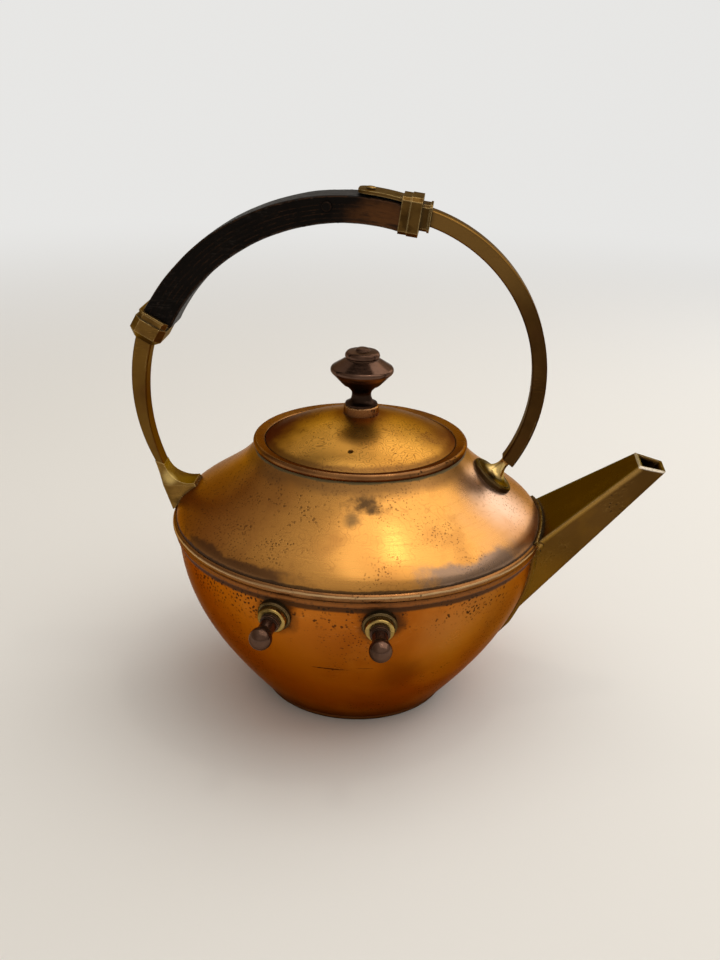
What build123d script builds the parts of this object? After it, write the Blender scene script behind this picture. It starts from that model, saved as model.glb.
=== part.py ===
"""Copper kettle with a box spout and a fixed loop handle. Millimetres, +Z up.

Origin: on the axis of the body, on the surface that the kettle stands on.
+X points to the spout. Handle and spout share the plane y = 0.
"""
import os
from math import atan2, cos, degrees, hypot, radians, sin, sqrt

from build123d import *

os.makedirs("parts", exist_ok=True)

# Sheet and general fits
wall = 1.2               # body sheet
body_r = 88.2            # its outer face at the seam of bowl and shoulder
fit = 0.05               # a shank in its hole, radial
lid_gap = 0.35           # lid in the mouth, radial
drill = 8.0              # how far the cutter of a hole in the sheet goes each way

# Foot ring
base_r = 46.0
base_ring_w = 3.6
base_ring_h = 2.0

# Bowl, from the underside of the sheet to the rim
bowl_depth = 84.8
bowl_flare = 42.0        # how far the lower wall runs straight before it rounds
bowl_side = 28.0         # how far the upper wall keeps its direction
bowl_base_angle = 49.8   # degrees from the table
bowl_lean = 2.6          # degrees from upright at the top
hem_h = 3.2              # folded strip under the bead
hem_out = 0.7
hem_step = 0.2           # the sheet lies this much further in than the strip's depth

# Half round bead between bowl and shoulder
bead_out = 1.8
bead_h = 4.0
bead_in = 2.2            # how far its web reaches inwards of the sheet's outer face

# Shoulder: rounds over from the bead, then sweeps up into the neck
shoulder_h = 35.2
roll_in = 10.2           # the rounding turns into the sweep this far in
roll_h = 11.0
roll_slope = 0.655
neck_r = 50.0

# Mouth ring and lid
ring_h = 3.4
ring_out = 1.0
mouth_in = 4.4           # its inner wall, inwards of the neck
ledge_w = 3.0            # the lid's seat, inwards of that wall
ledge_h = 1.2
lid_edge_h = 1.2
lid_rise = 14.0
lid_mid = 0.60           # height of the dome's control points, as shares of it
lid_top = 0.84
lid_t = 1.1
sleeve_depth = 12.0
sleeve_t = 0.8
steam_r = 1.2
steam_in = 11.65         # inwards of the lid's edge
steam_az = -92.3

# Knob
collar_r = 8.3
collar_h = 3.0
knob_r = 14.85
knob_h = 27.5
knob_neck_r = 4.6
knob_foot_r = 7.5
knob_cap_r = 8.1
stud_r = 2.0
stud_in_knob = 11.0
nut_af = 7.0
nut_h = 3.0

# Spout: two ridges on top, two below, all straight
spout_top_out = 41.0     # mouth, upper ridges, beyond the bead
spout_top_up = 36.5      # above the bead's middle
spout_low_out = 53.3
spout_low_up = 33.7
spout_top_slope = 0.767
spout_mouth_hw = 9.0
spout_lip_hw = 7.0
spout_root_hw = 24.0     # upper ridges where they reach the bead
spout_keel_hw = 14.42    # lower ridges where they reach the bowl
spout_keel_drop = 40.87  # and how far that is under the bead's middle
spout_t = 1.0
spout_sink = 8.3         # how far the cone is drawn past that before it is trimmed
spout_hole_r = 12.5
spout_hole_drop = 20.5   # under the bead's middle
spout_hole_reach = 30.0  # its cutter, inwards of the bead
flange_t = 2.0
flange_w = 1.7

# Handle, in the plane y = 0
grip_front_x = 15.5
grip_front_up = 109.4    # above the neck
grip_rear_out = 7.4      # beyond the body
grip_rear_up = 59.0
grip_bow = 21.3
grip_w = 21.0
grip_d_rear = 14.2
grip_d_mid = 12.4
grip_d_front = 11.2
grip_bevel = 2.2
tenon_len = 5.0
tenon_in = 2.4
arm_w = 9.0
arm_edge = 1.1
tang_r = 2.5
tang_len = 10.0

front_tilt = -7.2        # degrees, axis of the front fittings
front_box_len = 9.0
front_box_d = 16.4
front_box_w = 18.8
front_collar_len = 4.5
front_collar_d = 11.6
front_collar_w = 13.0
front_rim = 0.4          # raised edges of the band and the collar
front_rim_len = 1.0
front_band_from = 0.44    # the raised band starts here, as a share of the box
tongue_len = 20.0
tongue_t = 1.6
tongue_w = 15.0
rivet_back = 14.5
rivet_r = 1.2
rivet_head_r = 2.1
rivet_head_h = 0.9
front_arm_d = 7.4         # at the collar
front_arm_d_mid = 7.0
front_arm_d_low = 6.4
front_arm_bow = 29.4
front_foot_out = 13.0    # where the foot stands, outwards of the neck
front_foot_h = 11.6
front_arm_shift = 0.4    # the arm stands this far outwards of the foot's middle
front_flange_r = 11.0
front_flange_t = 2.4
front_neck_r = 2.5

rear_tilt = 61.2
rear_taper_len = 4.4
rear_band_len = 6.3
rear_neck_len = 3.6
rear_band_d = 16.0
rear_band_w = 23.0
rear_lip = 0.5           # raised edge round the wood
rear_arm_d_top = 8.4
rear_arm_d_mid = 6.4
rear_arm_d_low = 4.6
rear_arm_bow = 5.5
rear_low_out = 7.4       # lower end of the arm, outwards of the bead
rear_low_up = 22.7       # and above its middle
rear_foot_at = 0.88      # inner end of the foot, as a share of the rounding
rear_foot_bow = 3.4
rear_foot_w = 14.0
rear_foot_lip = 1.8

foot_stud_r = 1.75
foot_stud_in = 3.2
rear_stud_at = 0.30      # where the rear stud passes it
foot_sink = 4.0          # how far a foot is drawn in before it is trimmed

# Pegs that the kettle tips on, two on each side
peg_under = 11.6         # under the rim
peg_az = 93.5            # middle of a pair, degrees from the spout
peg_half = 15.3
peg_splay = 10.2
peg_drop = 13.0
peg_flange_r = 7.6
peg_flange_t = 1.8
peg_collar_r = 6.4
peg_collar_h = 2.9
peg_neck_r = 3.5
peg_ring_r = 4.4
peg_ring_h = 1.8
peg_ball_r = 5.0
peg_blend = 2.6          # rounding between the neck and the ball
peg_reach = 15.8         # middle of the ball, from the wall
peg_shank_r = 2.5
peg_nut_af = 8.0

# Sizes that follow from the values above
bead_r = body_r + bead_out
roll_r = body_r - roll_in
spout_top_x = bead_r + spout_top_out
spout_low_x = bead_r + spout_low_out
front_foot_r = neck_r + front_foot_out
mouth_r = neck_r - mouth_in
throat_r = mouth_r - ledge_w
grip_rear_x = -(body_r + grip_rear_out)
z_rim = base_ring_h + bowl_depth
peg_z = z_rim - peg_under
z_bead = z_rim + bead_h / 2
z_sh = z_rim + bead_h
z_neck = z_sh + shoulder_h
z_ledge = z_neck + ledge_h
z_ring = z_neck + ring_h
z_lid = z_ledge + lid_edge_h
lid_r = mouth_r - lid_gap
steam_at = lid_r - steam_in
z_apex = z_lid + lid_rise


def p(x, z, y=0.0):
    return Vector(x, y, z)


def link(a, b):
    """The line from a to b, or nothing where they are the same point."""
    return [Line(a, b)] if (a - b).length > 1e-6 else []


def turned(*edges):
    return revolve(Face(Wire(edges)), Axis.Z)


def bez(points, t):
    q = list(points)
    while len(q) > 1:
        q = [(a[0] + (b[0] - a[0]) * t, a[1] + (b[1] - a[1]) * t) for a, b in zip(q, q[1:])]
    return q[0]


def inset(points, d):
    """The control points of a curve moved by d to its left-hand side."""
    out = []
    for i, c in enumerate(points):
        a, b = points[max(i - 1, 0)], points[min(i + 1, len(points) - 1)]
        n = hypot(b[0] - a[0], b[1] - a[1])
        out.append((c[0] - d * (b[1] - a[1]) / n, c[1] + d * (b[0] - a[0]) / n))
    return out


def curve(points):
    return Bezier(*[p(*c) for c in points])


def bowl_curve():
    lo, up = radians(bowl_base_angle), radians(bowl_lean)
    top = (body_r - hem_out - hem_step, z_rim - hem_h)
    return [(base_r + 0.3, base_ring_h),
            (base_r + 0.3 + bowl_flare * cos(lo), base_ring_h + bowl_flare * sin(lo)),
            (top[0] - bowl_side * sin(up), top[1] - bowl_side * cos(up)), top]


def roll_curve():
    return [(body_r, z_sh), (body_r, z_sh + 0.32 * roll_h),
            (roll_r + 0.59 * roll_in, z_sh + roll_h - 0.59 * roll_in * roll_slope),
            (roll_r, z_sh + roll_h)]


def sweep_curve():
    run, up = roll_r - neck_r, shoulder_h - roll_h
    return [(roll_r, z_sh + roll_h),
            (roll_r - 0.41 * run, z_sh + roll_h + 0.41 * run * roll_slope),
            (neck_r + 0.18 * run, z_neck - 0.38 * up), (neck_r, z_neck)]


def on_curve(points, value, axis):
    """Point and outward normal where the curve has this radius (0) or height (1)."""
    lo, hi = 0.0, 1.0
    rising = points[-1][axis] > points[0][axis]
    for _ in range(50):
        t = (lo + hi) / 2
        if (bez(points, t)[axis] < value) == rising:
            lo = t
        else:
            hi = t
    a, b = bez(points, max(t - 1e-4, 0)), bez(points, min(t + 1e-4, 1))
    n = hypot(b[0] - a[0], b[1] - a[1])
    return bez(points, t), ((b[1] - a[1]) / n, -(b[0] - a[0]) / n)


def shoulder_at(radius):
    return on_curve(roll_curve() if radius > roll_r else sweep_curve(), radius, 0)


# Body

def bowl_edges(grow=0.0):
    """Outer side of the bowl from the underside up to the rim."""
    c = inset(bowl_curve(), -grow) if grow else bowl_curve()
    x = body_r + hem_out + grow
    z = z_rim - hem_h
    return [curve(c), Line(p(*c[-1]), p(x - 0.5, z + 0.2)),
            ThreePointArc(p(x - 0.5, z + 0.2), p(x, z + hem_h / 2), p(x - 0.5, z_rim))]


def make_bowl():
    inner = inset(bowl_curve(), wall)
    r_in = body_r - wall - hem_out - hem_step
    top = (r_in, z_rim)
    edges = bowl_edges()
    end = edges[-1] @ 1
    floor = (inner[0][0], base_ring_h + wall)
    inner[0] = floor
    body = turned(Line(p(0, base_ring_h), p(*bowl_curve()[0])), *edges, Line(end, p(*top)),
                  Line(p(*top), p(*inner[-1])), curve(inner[::-1]),
                  Line(p(*floor), p(0, floor[1])), Line(p(0, floor[1]), p(0, base_ring_h)))
    body -= spout_hole()
    for f in peg_frames():
        body -= rod(f, peg_shank_r + 2 * fit, -drill, drill)
    return body


def make_base_ring():
    x, r0 = base_r, base_r - base_ring_w
    c = base_ring_h
    return turned(Line(p(r0, 0), p(x - 0.6, 0)),
                  ThreePointArc(p(x - 0.6, 0), p(x, c / 2), p(x - 0.3, c)),
                  Line(p(x - 0.3, c), p(r0, c)), Line(p(r0, c), p(r0, 0)))


def bead_edges(grow=0.0):
    x = bead_r + grow
    return ThreePointArc(p(x - 1.6, z_rim), p(x, z_bead), p(x - 1.6, z_sh))


def make_bead():
    r0, x = body_r - bead_in, bead_r - 1.6
    return turned(Line(p(r0, z_rim), p(x, z_rim)), bead_edges(), Line(p(x, z_sh), p(r0, z_sh)),
                  Line(p(r0, z_sh), p(r0, z_rim)))


def make_shoulder():
    roll, swp = roll_curve(), sweep_curve()
    roll_in, swp_in = inset(roll, wall), inset(swp, wall)
    roll_in[0] = (body_r - wall, z_sh)
    swp_in[-1] = (neck_r - wall, z_neck)
    roll_in[-1] = swp_in[0]
    body = turned(curve(roll), curve(swp), Line(p(*swp[-1]), p(*swp_in[-1])),
                  curve(swp_in[::-1]), curve(roll_in[::-1]), Line(p(*roll_in[0]), p(*roll[0])))
    for f in stud_frames():
        body -= rod(f, foot_stud_r + 2 * fit, -drill, drill)
    return body


def make_mouth_ring():
    x = neck_r + ring_out
    z0, z1 = z_neck, z_ring
    return turned(Line(p(throat_r, z0), p(neck_r + 0.2, z0)),
                  ThreePointArc(p(neck_r + 0.2, z0), p(x, z0 + 0.55 * ring_h),
                                p(x - 1.2, z1)),
                  Line(p(x - 1.2, z1), p(mouth_r + 0.5, z1 - 0.7)),
                  Line(p(mouth_r + 0.5, z1 - 0.7), p(mouth_r, z1 - 1.0)),
                  Line(p(mouth_r, z1 - 1.0), p(mouth_r, z_ledge)),
                  Line(p(mouth_r, z_ledge), p(throat_r, z_ledge)),
                  Line(p(throat_r, z_ledge), p(throat_r, z0)))


def envelope(grow=0.0):
    """The body as one closed solid, used to seat what stands on it."""
    edges = bowl_edges(grow)
    c0 = edges[0] @ 0
    bead = bead_edges(grow)
    roll = inset(roll_curve(), -grow) if grow else roll_curve()
    swp = inset(sweep_curve(), -grow) if grow else sweep_curve()
    roll[0], roll[-1] = (body_r + grow, z_sh), swp[0]
    end = edges[-1] @ 1
    return turned(Line(p(0, c0.Z), c0), *edges, *link(end, bead @ 0), bead,
                  *link(bead @ 1, p(*roll[0])), curve(roll), curve(swp),
                  Line(p(*swp[-1]), p(0, swp[-1][1])), Line(p(0, swp[-1][1]), p(0, c0.Z)))


# Lid

def lid_line(r0, z0, rise):
    return [(r0, z0), (r0 * 2 / 3, z0 + lid_mid * rise), (r0 / 3, z0 + lid_top * rise),
            (0, z0 + rise)]


def make_lid_dome():
    r_seat = throat_r - lid_gap - sleeve_t - 0.1
    top = lid_line(lid_r, z_lid, lid_rise)
    low = lid_line(r_seat, z_ledge, z_apex - lid_t - z_ledge)
    body = turned(Line(p(r_seat, z_ledge), p(lid_r, z_ledge)),
                  Line(p(lid_r, z_ledge), p(lid_r, z_lid)), curve(top),
                  Line(p(0, z_apex), p(0, z_apex - lid_t)), curve(low[::-1]))
    a = radians(steam_az)
    hole = Pos(steam_at * cos(a), steam_at * sin(a), z_lid) * Cylinder(steam_r, 3 * lid_rise)
    return body - hole - Pos(0, 0, z_apex) * Cylinder(stud_r + fit, 8 * lid_t)


def make_lid_sleeve():
    r1 = throat_r - lid_gap
    r0, z0 = r1 - sleeve_t, z_ledge - sleeve_depth
    return turned(Line(p(r0, z0), p(r1 - 0.3, z0)), Line(p(r1 - 0.3, z0), p(r1, z0 + 1.0)),
                  Line(p(r1, z0 + 1.0), p(r1, z_ledge)), Line(p(r1, z_ledge), p(r0, z_ledge)),
                  Line(p(r0, z_ledge), p(r0, z0)))


def make_knob_collar():
    cap = Pos(0, 0, z_apex + collar_h / 2 - 1) * Cylinder(collar_r, collar_h + 2)
    cap = chamfer(cap.edges().group_by(Axis.Z)[-1], 0.4)
    dome = lid_line(lid_r, z_lid, lid_rise)
    under = turned(Line(p(0, z_ledge), p(lid_r, z_ledge)),
                   Line(p(lid_r, z_ledge), p(lid_r, z_lid)), curve(dome),
                   Line(p(0, z_apex), p(0, z_ledge)))
    return cap - under - Pos(0, 0, z_apex) * Cylinder(stud_r + fit, 4 * collar_h)


def make_knob():
    z0 = z_apex + collar_h
    h, r, n = knob_h, knob_r, knob_neck_r

    def at(radius, share):
        return p(radius, z0 + share * h)

    step = n + 0.42 * (r - n)
    body = turned(Line(at(0, 0), at(knob_foot_r, 0)),
                  Line(at(knob_foot_r, 0), at(knob_foot_r, 0.035)),
                  ThreePointArc(at(knob_foot_r, 0.035), at(n + 0.8, 0.085), at(n, 0.168)),
                  ThreePointArc(at(n, 0.168), at(n + 0.25, 0.239), at(n + 1.2, 0.283)),
                  Line(at(n + 1.2, 0.283), at(step - 1.4, 0.35)),
                  Line(at(step - 1.4, 0.35), at(step, 0.366)),
                  Line(at(step, 0.366), at(r - 0.5, 0.57)),
                  ThreePointArc(at(r - 0.5, 0.57), at(r, 0.62), at(r - 0.7, 0.67)),
                  Line(at(r - 0.7, 0.67), at(knob_cap_r - 0.3, 0.819)),
                  Line(at(knob_cap_r - 0.3, 0.819), at(knob_cap_r, 0.846)),
                  ThreePointArc(at(knob_cap_r, 0.846), at(knob_cap_r - 0.1, 0.9),
                                at(knob_cap_r - 1.1, 0.94)),
                  Line(at(knob_cap_r - 1.1, 0.94), at(3.6, 0.95)),
                  ThreePointArc(at(3.6, 0.95), at(2.9, 0.985), at(1.2, 1.0)),
                  Line(at(1.2, 1.0), at(0, 1.0)), Line(at(0, 1.0), at(0, 0)))
    bore = Pos(0, 0, z0 + (stud_in_knob + 1) / 2) * Cylinder(stud_r + fit, stud_in_knob + 1)
    return body - bore


def knob_nut_top():
    low = lid_line(throat_r - lid_gap - sleeve_t - 0.1, z_ledge, z_apex - lid_t - z_ledge)
    return on_curve(low, nut_af * 0.577, 0)[0][1]


def make_knob_stud():
    z0, z1 = knob_nut_top() - nut_h - 1.5, z_apex + collar_h + stud_in_knob
    return Pos(0, 0, (z0 + z1) / 2) * Cylinder(stud_r, z1 - z0)


def make_knob_nut():
    return hex_nut(Pos(0, 0, knob_nut_top()), nut_af, nut_h, stud_r)


# Fasteners, in frames whose z axis points out of the sheet

def rod(frame, radius, z0, z1):
    return frame * Pos(0, 0, (z0 + z1) / 2) * Cylinder(radius, z1 - z0)


def hex_nut(frame, af, height, bolt_r):
    blank = extrude(RegularPolygon(af / 2, 6, major_radius=False), -height)
    blank = chamfer(blank.edges().group_by(Axis.Z)[0], 0.4)
    return frame * (blank - Cylinder(bolt_r + fit, 3 * height))


def seat_frame(radius, back=False):
    (r, z), n = shoulder_at(radius)
    s = -1 if back else 1
    return Location(Plane(origin=(s * r, 0, z), x_dir=(0, s, 0), z_dir=(s * n[0], 0, n[1])))


def stud_frames():
    return [seat_frame(front_foot_r), seat_frame(body_r - rear_stud_at * roll_in, back=True)]


def peg_frames():
    (r, z), n = on_curve(bowl_curve(), peg_z, 1)
    frames = []
    for side in (-1, 1):
        for s in (-1, 1):
            a = radians(side * (peg_az + s * peg_half))
            b, d = radians(side * (peg_az + s * peg_splay)), radians(peg_drop)
            out = Vector(cos(b) * cos(d), sin(b) * cos(d), -sin(d))
            frames.append(Location(Plane(origin=(r * cos(a), r * sin(a), z), z_dir=out)))
    return frames


def sag(radius, width):
    """How far a wall of this radius falls away under a disc of this half width."""
    return radius - sqrt(radius ** 2 - width ** 2)


# Spout

def spout_hole():
    return Pos(bead_r, 0, z_bead - spout_hole_drop) * Rot(0, 90, 0) * Cylinder(
        spout_hole_r, 2 * spout_hole_reach)


def keel_root():
    """Where the lower ridges reach the bowl."""
    return on_curve(bowl_curve(), z_bead - spout_keel_drop, 1)[0][0]


def spout_ridge(low):
    """Mouth end (x, z, half width) of a ridge, and its slopes in z and in y."""
    if low:
        x, z, w = spout_low_x, z_bead + spout_low_up, spout_lip_hw
        run = x - keel_root()
        return x, z, w, (spout_low_up + spout_keel_drop) / run, (spout_keel_hw - w) / run
    x, z, w = spout_top_x, z_bead + spout_top_up, spout_mouth_hw
    return x, z, w, spout_top_slope, (spout_root_hw - w) / (x - bead_r)


def spout_corner(x, low, t):
    """Half width and height of a ridge at x, with the skin moved in by t."""
    x1, z1, w1, slope, k = spout_ridge(low)
    lift = t * hypot(1, slope) * (1 if low else -1)
    return w1 + k * (x1 - x) - t * hypot(1, k), z1 - slope * (x1 - x) + lift


def mouth_x(low, t, past):
    """Where a ridge meets the plane of the mouth, moved out by past."""
    (xt, zt), (xl, zl) = spout_ridge(False)[:2], spout_ridge(True)[:2]
    n = hypot(xl - xt, zl - zt)
    mx, mz = (zt - zl) / n, (xl - xt) / n
    slope = spout_ridge(low)[3]
    z0 = spout_corner(0, low, t)[1]
    return (past + mx * xt + mz * (zt - z0)) / (mx + mz * slope)


def spout_section(x_top, x_low, t):
    (wt, zt), (wl, zl) = spout_corner(x_top, False, t), spout_corner(x_low, True, t)
    pts = [(x_top, -wt, zt), (x_top, wt, zt), (x_low, wl, zl), (x_low, -wl, zl)]
    return Face(Wire.make_polygon([Vector(*q) for q in pts], close=True))


def spout_cone(t, past=0.0):
    """The spout as a closed solid, its skin moved in by t and its mouth moved out."""
    x0 = keel_root() - spout_sink
    a = spout_section(x0, x0, t)
    b = spout_section(mouth_x(False, t, past), mouth_x(True, t, past), t)
    return loft([a, b], ruled=True)


def make_spout_shell(body):
    return spout_cone(0) - body - spout_cone(spout_t, 3 * spout_t)


def make_spout_collar(body):
    return (spout_cone(-flange_w) & envelope(flange_t)) - spout_cone(0) - body


# Handle

def unit(angle):
    a = radians(angle)
    return Vector(cos(a), 0, sin(a))


def side(d):
    """Left-hand normal of a direction in the plane y = 0."""
    return Vector(-d.Z, 0, d.X)


def arc_point(a, b, bow):
    m = (a + b) / 2
    return m + side((b - a).normalized()) * bow


grip_rear = p(grip_rear_x, z_neck + grip_rear_up)
grip_front = p(grip_front_x, z_neck + grip_front_up)
rear_dir, front_dir = unit(rear_tilt), unit(front_tilt)
rear_len = rear_taper_len + rear_band_len + rear_neck_len
front_len = front_box_len + front_collar_len
rear_top = grip_rear - rear_dir * rear_len
front_top = grip_front + front_dir * front_len


def frame_at(point, direction):
    """z axis along the handle, x axis to the outside of the loop."""
    return Location(Plane(origin=point, x_dir=side(direction), z_dir=direction))


def bar(a, b, bow, depths, ends, width):
    """A curved bar of changing depth; ends are the directions it is cut square to."""
    m = arc_point(a, b, bow)
    n = [side(ends[0]), side((b - a).normalized()), side(ends[1])]
    out = [q + v * d / 2 for q, v, d in zip((a, m, b), n, depths)]
    inn = [q - v * d / 2 for q, v, d in zip((a, m, b), n, depths)]
    face = Face(Wire([ThreePointArc(*out), Line(out[2], inn[2]), ThreePointArc(*inn[::-1]),
                      Line(inn[0], out[0])]))
    return extrude(face, width / 2, dir=(0, 1, 0), both=True)


def long_edges(solid, length):
    return [e for e in solid.edges() if e.geom_type == GeomType.CIRCLE and e.length > length]


def octagon(dx, dy, c):
    x, y = dx / 2, dy / 2
    pts = [(x - c, -y), (x, -y + c), (x, y - c), (x - c, y), (-x + c, y), (-x, y - c),
           (-x, -y + c), (-x + c, -y)]
    return Face(Wire.make_polygon([Vector(a, b, 0) for a, b in pts], close=True))


def prism(frame, dx, dy, c, z0, z1):
    return frame * Pos(0, 0, z0) * extrude(octagon(dx, dy, c), z1 - z0)


def grip_ends():
    """Frames at the two end faces, pointing into the wood."""
    return [(frame_at(grip_rear, rear_dir), grip_d_rear),
            (frame_at(grip_front, front_dir * -1), grip_d_front)]


def tenon(frame, depth, gap):
    d, w = depth - 2 * tenon_in + 2 * gap, grip_w - 2 * tenon_in + 2 * gap
    return prism(frame, d, w, 1.2, -tenon_len - gap, 0)


def make_grip():
    grip = bar(grip_rear, grip_front, grip_bow, (grip_d_rear, grip_d_mid, grip_d_front),
               (rear_dir, front_dir), grip_w)
    grip = chamfer(long_edges(grip, (grip_front - grip_rear).length / 2), grip_bevel)
    for frame, depth in grip_ends():
        grip += tenon(frame, depth, 0)
        grip -= rod(frame, tang_r + fit, -tenon_len - 1, tang_len + 1)
    return grip - rod(rivet_frame(), rivet_r + fit, -2 * grip_d_front, 2 * grip_d_front)


def make_rear_ferrule():
    f = frame_at(rear_top, rear_dir)
    z1, z2 = rear_taper_len, rear_taper_len + rear_band_len
    low = octagon(rear_arm_d_top + 1.6, arm_w + 1.6, 1.2)
    wide = octagon(rear_band_d, rear_band_w, 3.0)
    cup = f * loft([low, Pos(0, 0, z1) * wide], ruled=True)
    cup += f * Pos(0, 0, z1) * extrude(wide, z2 - z1)
    cup += prism(f, grip_d_rear, grip_w, grip_bevel, z2, rear_len)
    cup += prism(f, grip_d_rear + 2 * rear_lip, grip_w + 2 * rear_lip, grip_bevel,
                 rear_len - 1.0, rear_len)
    end, depth = grip_ends()[0]
    return cup - tenon(end, depth, 2 * fit) - rod(f, tang_r + fit, -1, rear_len)


def grip_skin(outer):
    """Centre and radius of the grip's outer or inner face."""
    s = 1 if outer else -1
    m = arc_point(grip_rear, grip_front, grip_bow)
    n = [side(rear_dir), side((grip_front - grip_rear).normalized()), side(front_dir)]
    d = (grip_d_rear, grip_d_mid, grip_d_front)
    a, b, c = [q + v * (s * k / 2) for q, v, k in zip((grip_rear, m, grip_front), n, d)]
    arc = ThreePointArc(a, b, c)
    return arc.arc_center, arc.radius


def tongue(outer):
    centre, r = grip_skin(outer)
    s = 1 if outer else -1
    start = grip_front + side(front_dir) * (s * grip_d_front / 2) - centre
    a0 = degrees(atan2(start.Z, start.X))
    a1 = a0 + degrees(tongue_len / r)

    def at(radius, angle):
        return centre + unit(angle) * radius

    r1 = r + s * tongue_t
    mid = (a0 + a1) / 2
    e = a0 - 1.5
    face = Face(Wire([ThreePointArc(at(r, e), at(r, mid), at(r, a1)), Line(at(r, a1), at(r1, a1)),
                      ThreePointArc(at(r1, a1), at(r1, mid), at(r1, e)),
                      Line(at(r1, e), at(r, e))]))
    blade = extrude(face, tongue_w / 2, dir=(0, 1, 0), both=True)
    tip = sorted(blade.edges(), key=lambda k: (k.center().X, -abs(k.center().Y)))
    corners = [k for k in tip if abs(k.length - tongue_t) < 0.01][:2]
    return fillet(corners, 0.3 * tongue_w)


def rivet_frame():
    m = arc_point(grip_rear, grip_front, grip_bow)
    arc = ThreePointArc(grip_rear, m, grip_front)
    u = 1 - rivet_back / arc.length
    return frame_at(arc @ u, (arc % u).cross(Vector(0, 1, 0)) * -1)


def make_front_ferrule():
    f = frame_at(grip_front, front_dir)
    box = prism(f, front_box_d, front_box_w, 1.4, 0, front_box_len)
    band = prism(f, front_box_d + 2 * front_rim, front_box_w + 2 * front_rim, 1.8,
                 front_band_from * front_box_len, front_box_len)
    body = box + band + tongue(True) + tongue(False)
    end, depth = grip_ends()[1]
    body -= tenon(end, depth, 2 * fit)
    body -= rod(f, tang_r + fit, -1, front_len)
    return body - rod(rivet_frame(), rivet_r + fit, -2 * grip_d_front, 2 * grip_d_front)


def make_rivets():
    f = rivet_frame()
    half = grip_d_front / 2 + tongue_t
    shank = rod(f, rivet_r, -half - 0.7, half + 0.7)
    head = Cylinder(rivet_head_r, rivet_head_h)
    head = chamfer(head.edges().group_by(Axis.Z)[-1], 0.4)
    top = f * Pos(0, 0, half + 0.2 + rivet_head_h / 2) * head
    low = f * Rot(180, 0, 0) * Pos(0, 0, half + 0.2 + rivet_head_h / 2) * head
    return shank + top + low


def make_front_collar():
    f = frame_at(grip_front, front_dir)
    ring = prism(f, front_collar_d, front_collar_w, 1.2, front_box_len, front_len)
    ring += prism(f, front_collar_d + 2 * front_rim, front_collar_w + 2 * front_rim, 1.2,
                  front_len - front_rim_len, front_len)
    return ring - rod(f, tang_r + fit, front_box_len - 1, front_len + 1)


def make_front_arm():
    seat = seat_frame(front_foot_r)
    up = Plane(seat).z_dir
    low = seat.position + up * front_foot_h - side(up) * front_arm_shift
    arm = bar(front_top, low, front_arm_bow,
              (front_arm_d, front_arm_d_mid, front_arm_d_low), (front_dir, up * -1), arm_w)
    arm = fillet(long_edges(arm, (front_top - low).length / 2), arm_edge)
    f = frame_at(front_top, front_dir)
    return arm + rod(f, tang_r, -front_len - tang_len, 0.5)


def make_front_foot(body):
    seat = seat_frame(front_foot_r)
    r, t, n, h = front_flange_r, front_flange_t, front_neck_r, front_foot_h

    def q(x, z):
        return p(x, z)

    g, s = r - 1.8, foot_sink
    horn = turned(Line(q(0, -s), q(r, -s)), Line(q(r, -s), q(r, t - 0.7)),
                  ThreePointArc(q(r, t - 0.7), q(r - 0.5, t - 0.15), q(r - 1.2, t - 0.1)),
                  Line(q(r - 1.2, t - 0.1), q(g, t - 0.9)), Line(q(g, t - 0.9), q(g, t)),
                  ThreePointArc(q(g, t), q(n + 1.5, 0.42 * h), q(n, h)),
                  Line(q(n, h), q(0, h)), Line(q(0, h), q(0, -s)))
    return seat * horn - body - rod(seat, foot_stud_r + fit, -drill, foot_stud_in + 0.5)


def rear_low():
    return p(-(bead_r + rear_low_out), z_bead + rear_low_up)


rear_low_dir = unit(252.0)


def make_rear_arm():
    arm = bar(rear_low(), rear_top, rear_arm_bow,
              (rear_arm_d_low, rear_arm_d_mid, rear_arm_d_top),
              (rear_low_dir * -1, rear_dir), arm_w)
    arm = fillet(long_edges(arm, (rear_top - rear_low()).length / 2), arm_edge)
    f = frame_at(rear_top, rear_dir)
    return arm + rod(f, tang_r, -0.5, rear_len + tang_len)


def make_rear_foot(body):
    a = rear_low()
    n = side(rear_low_dir)
    half = rear_arm_d_low / 2
    inner, outer = a + n * half, a - n * half
    (r, z), nn = shoulder_at(body_r - rear_foot_at * roll_in)
    tip = p(-r, z) + p(-nn[0], nn[1]) * rear_foot_lip
    end = p(-bead_r - bead_out / 2, z_bead - 0.15 * bead_h)
    back = tip - p(-nn[0], nn[1]) * (rear_foot_lip + foot_sink)
    bend = arc_point(inner, tip, -rear_foot_bow)
    face = Face(Wire([Line(outer, inner), ThreePointArc(inner, bend, tip), Line(tip, back),
                      Line(back, end), Line(end, outer)]))
    wide = extrude(face, rear_foot_w / 2, dir=(0, 1, 0), both=True)
    w0, w1 = arm_w / 2, rear_foot_w / 2
    reach = 2 * (rear_low_out + rear_foot_w)
    z0, z1, z2 = end.Z - 2 * bead_h, tip.Z - 1.5, max(inner.Z, outer.Z) + 0.2

    def q(y, zz):
        return Vector(-bead_r - reach / 2, y, zz)

    zm = (z1 + z2) / 2
    wm = w0 + 0.22 * (w1 - w0)
    plan = Face(Wire([Line(q(-w1, z0), q(w1, z0)), Line(q(w1, z0), q(w1, z1)),
                      ThreePointArc(q(w1, z1), q(wm, zm), q(w0, z2)),
                      Line(q(w0, z2), q(-w0, z2)),
                      ThreePointArc(q(-w0, z2), q(-wm, zm), q(-w1, z1)),
                      Line(q(-w1, z1), q(-w1, z0))]))
    foot = wide & extrude(plan, reach, dir=(1, 0, 0))
    frame = stud_frames()[1]
    return foot - body - rod(frame, foot_stud_r + fit, -drill, foot_stud_in + 0.5)


def foot_drops():
    """How far under the sheet's outer face each nut starts."""
    half = nut_af * 0.577
    return [wall + sag(front_foot_r, half) + fit, wall + sag(roll_h - wall, half) + 2 * fit]


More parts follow.
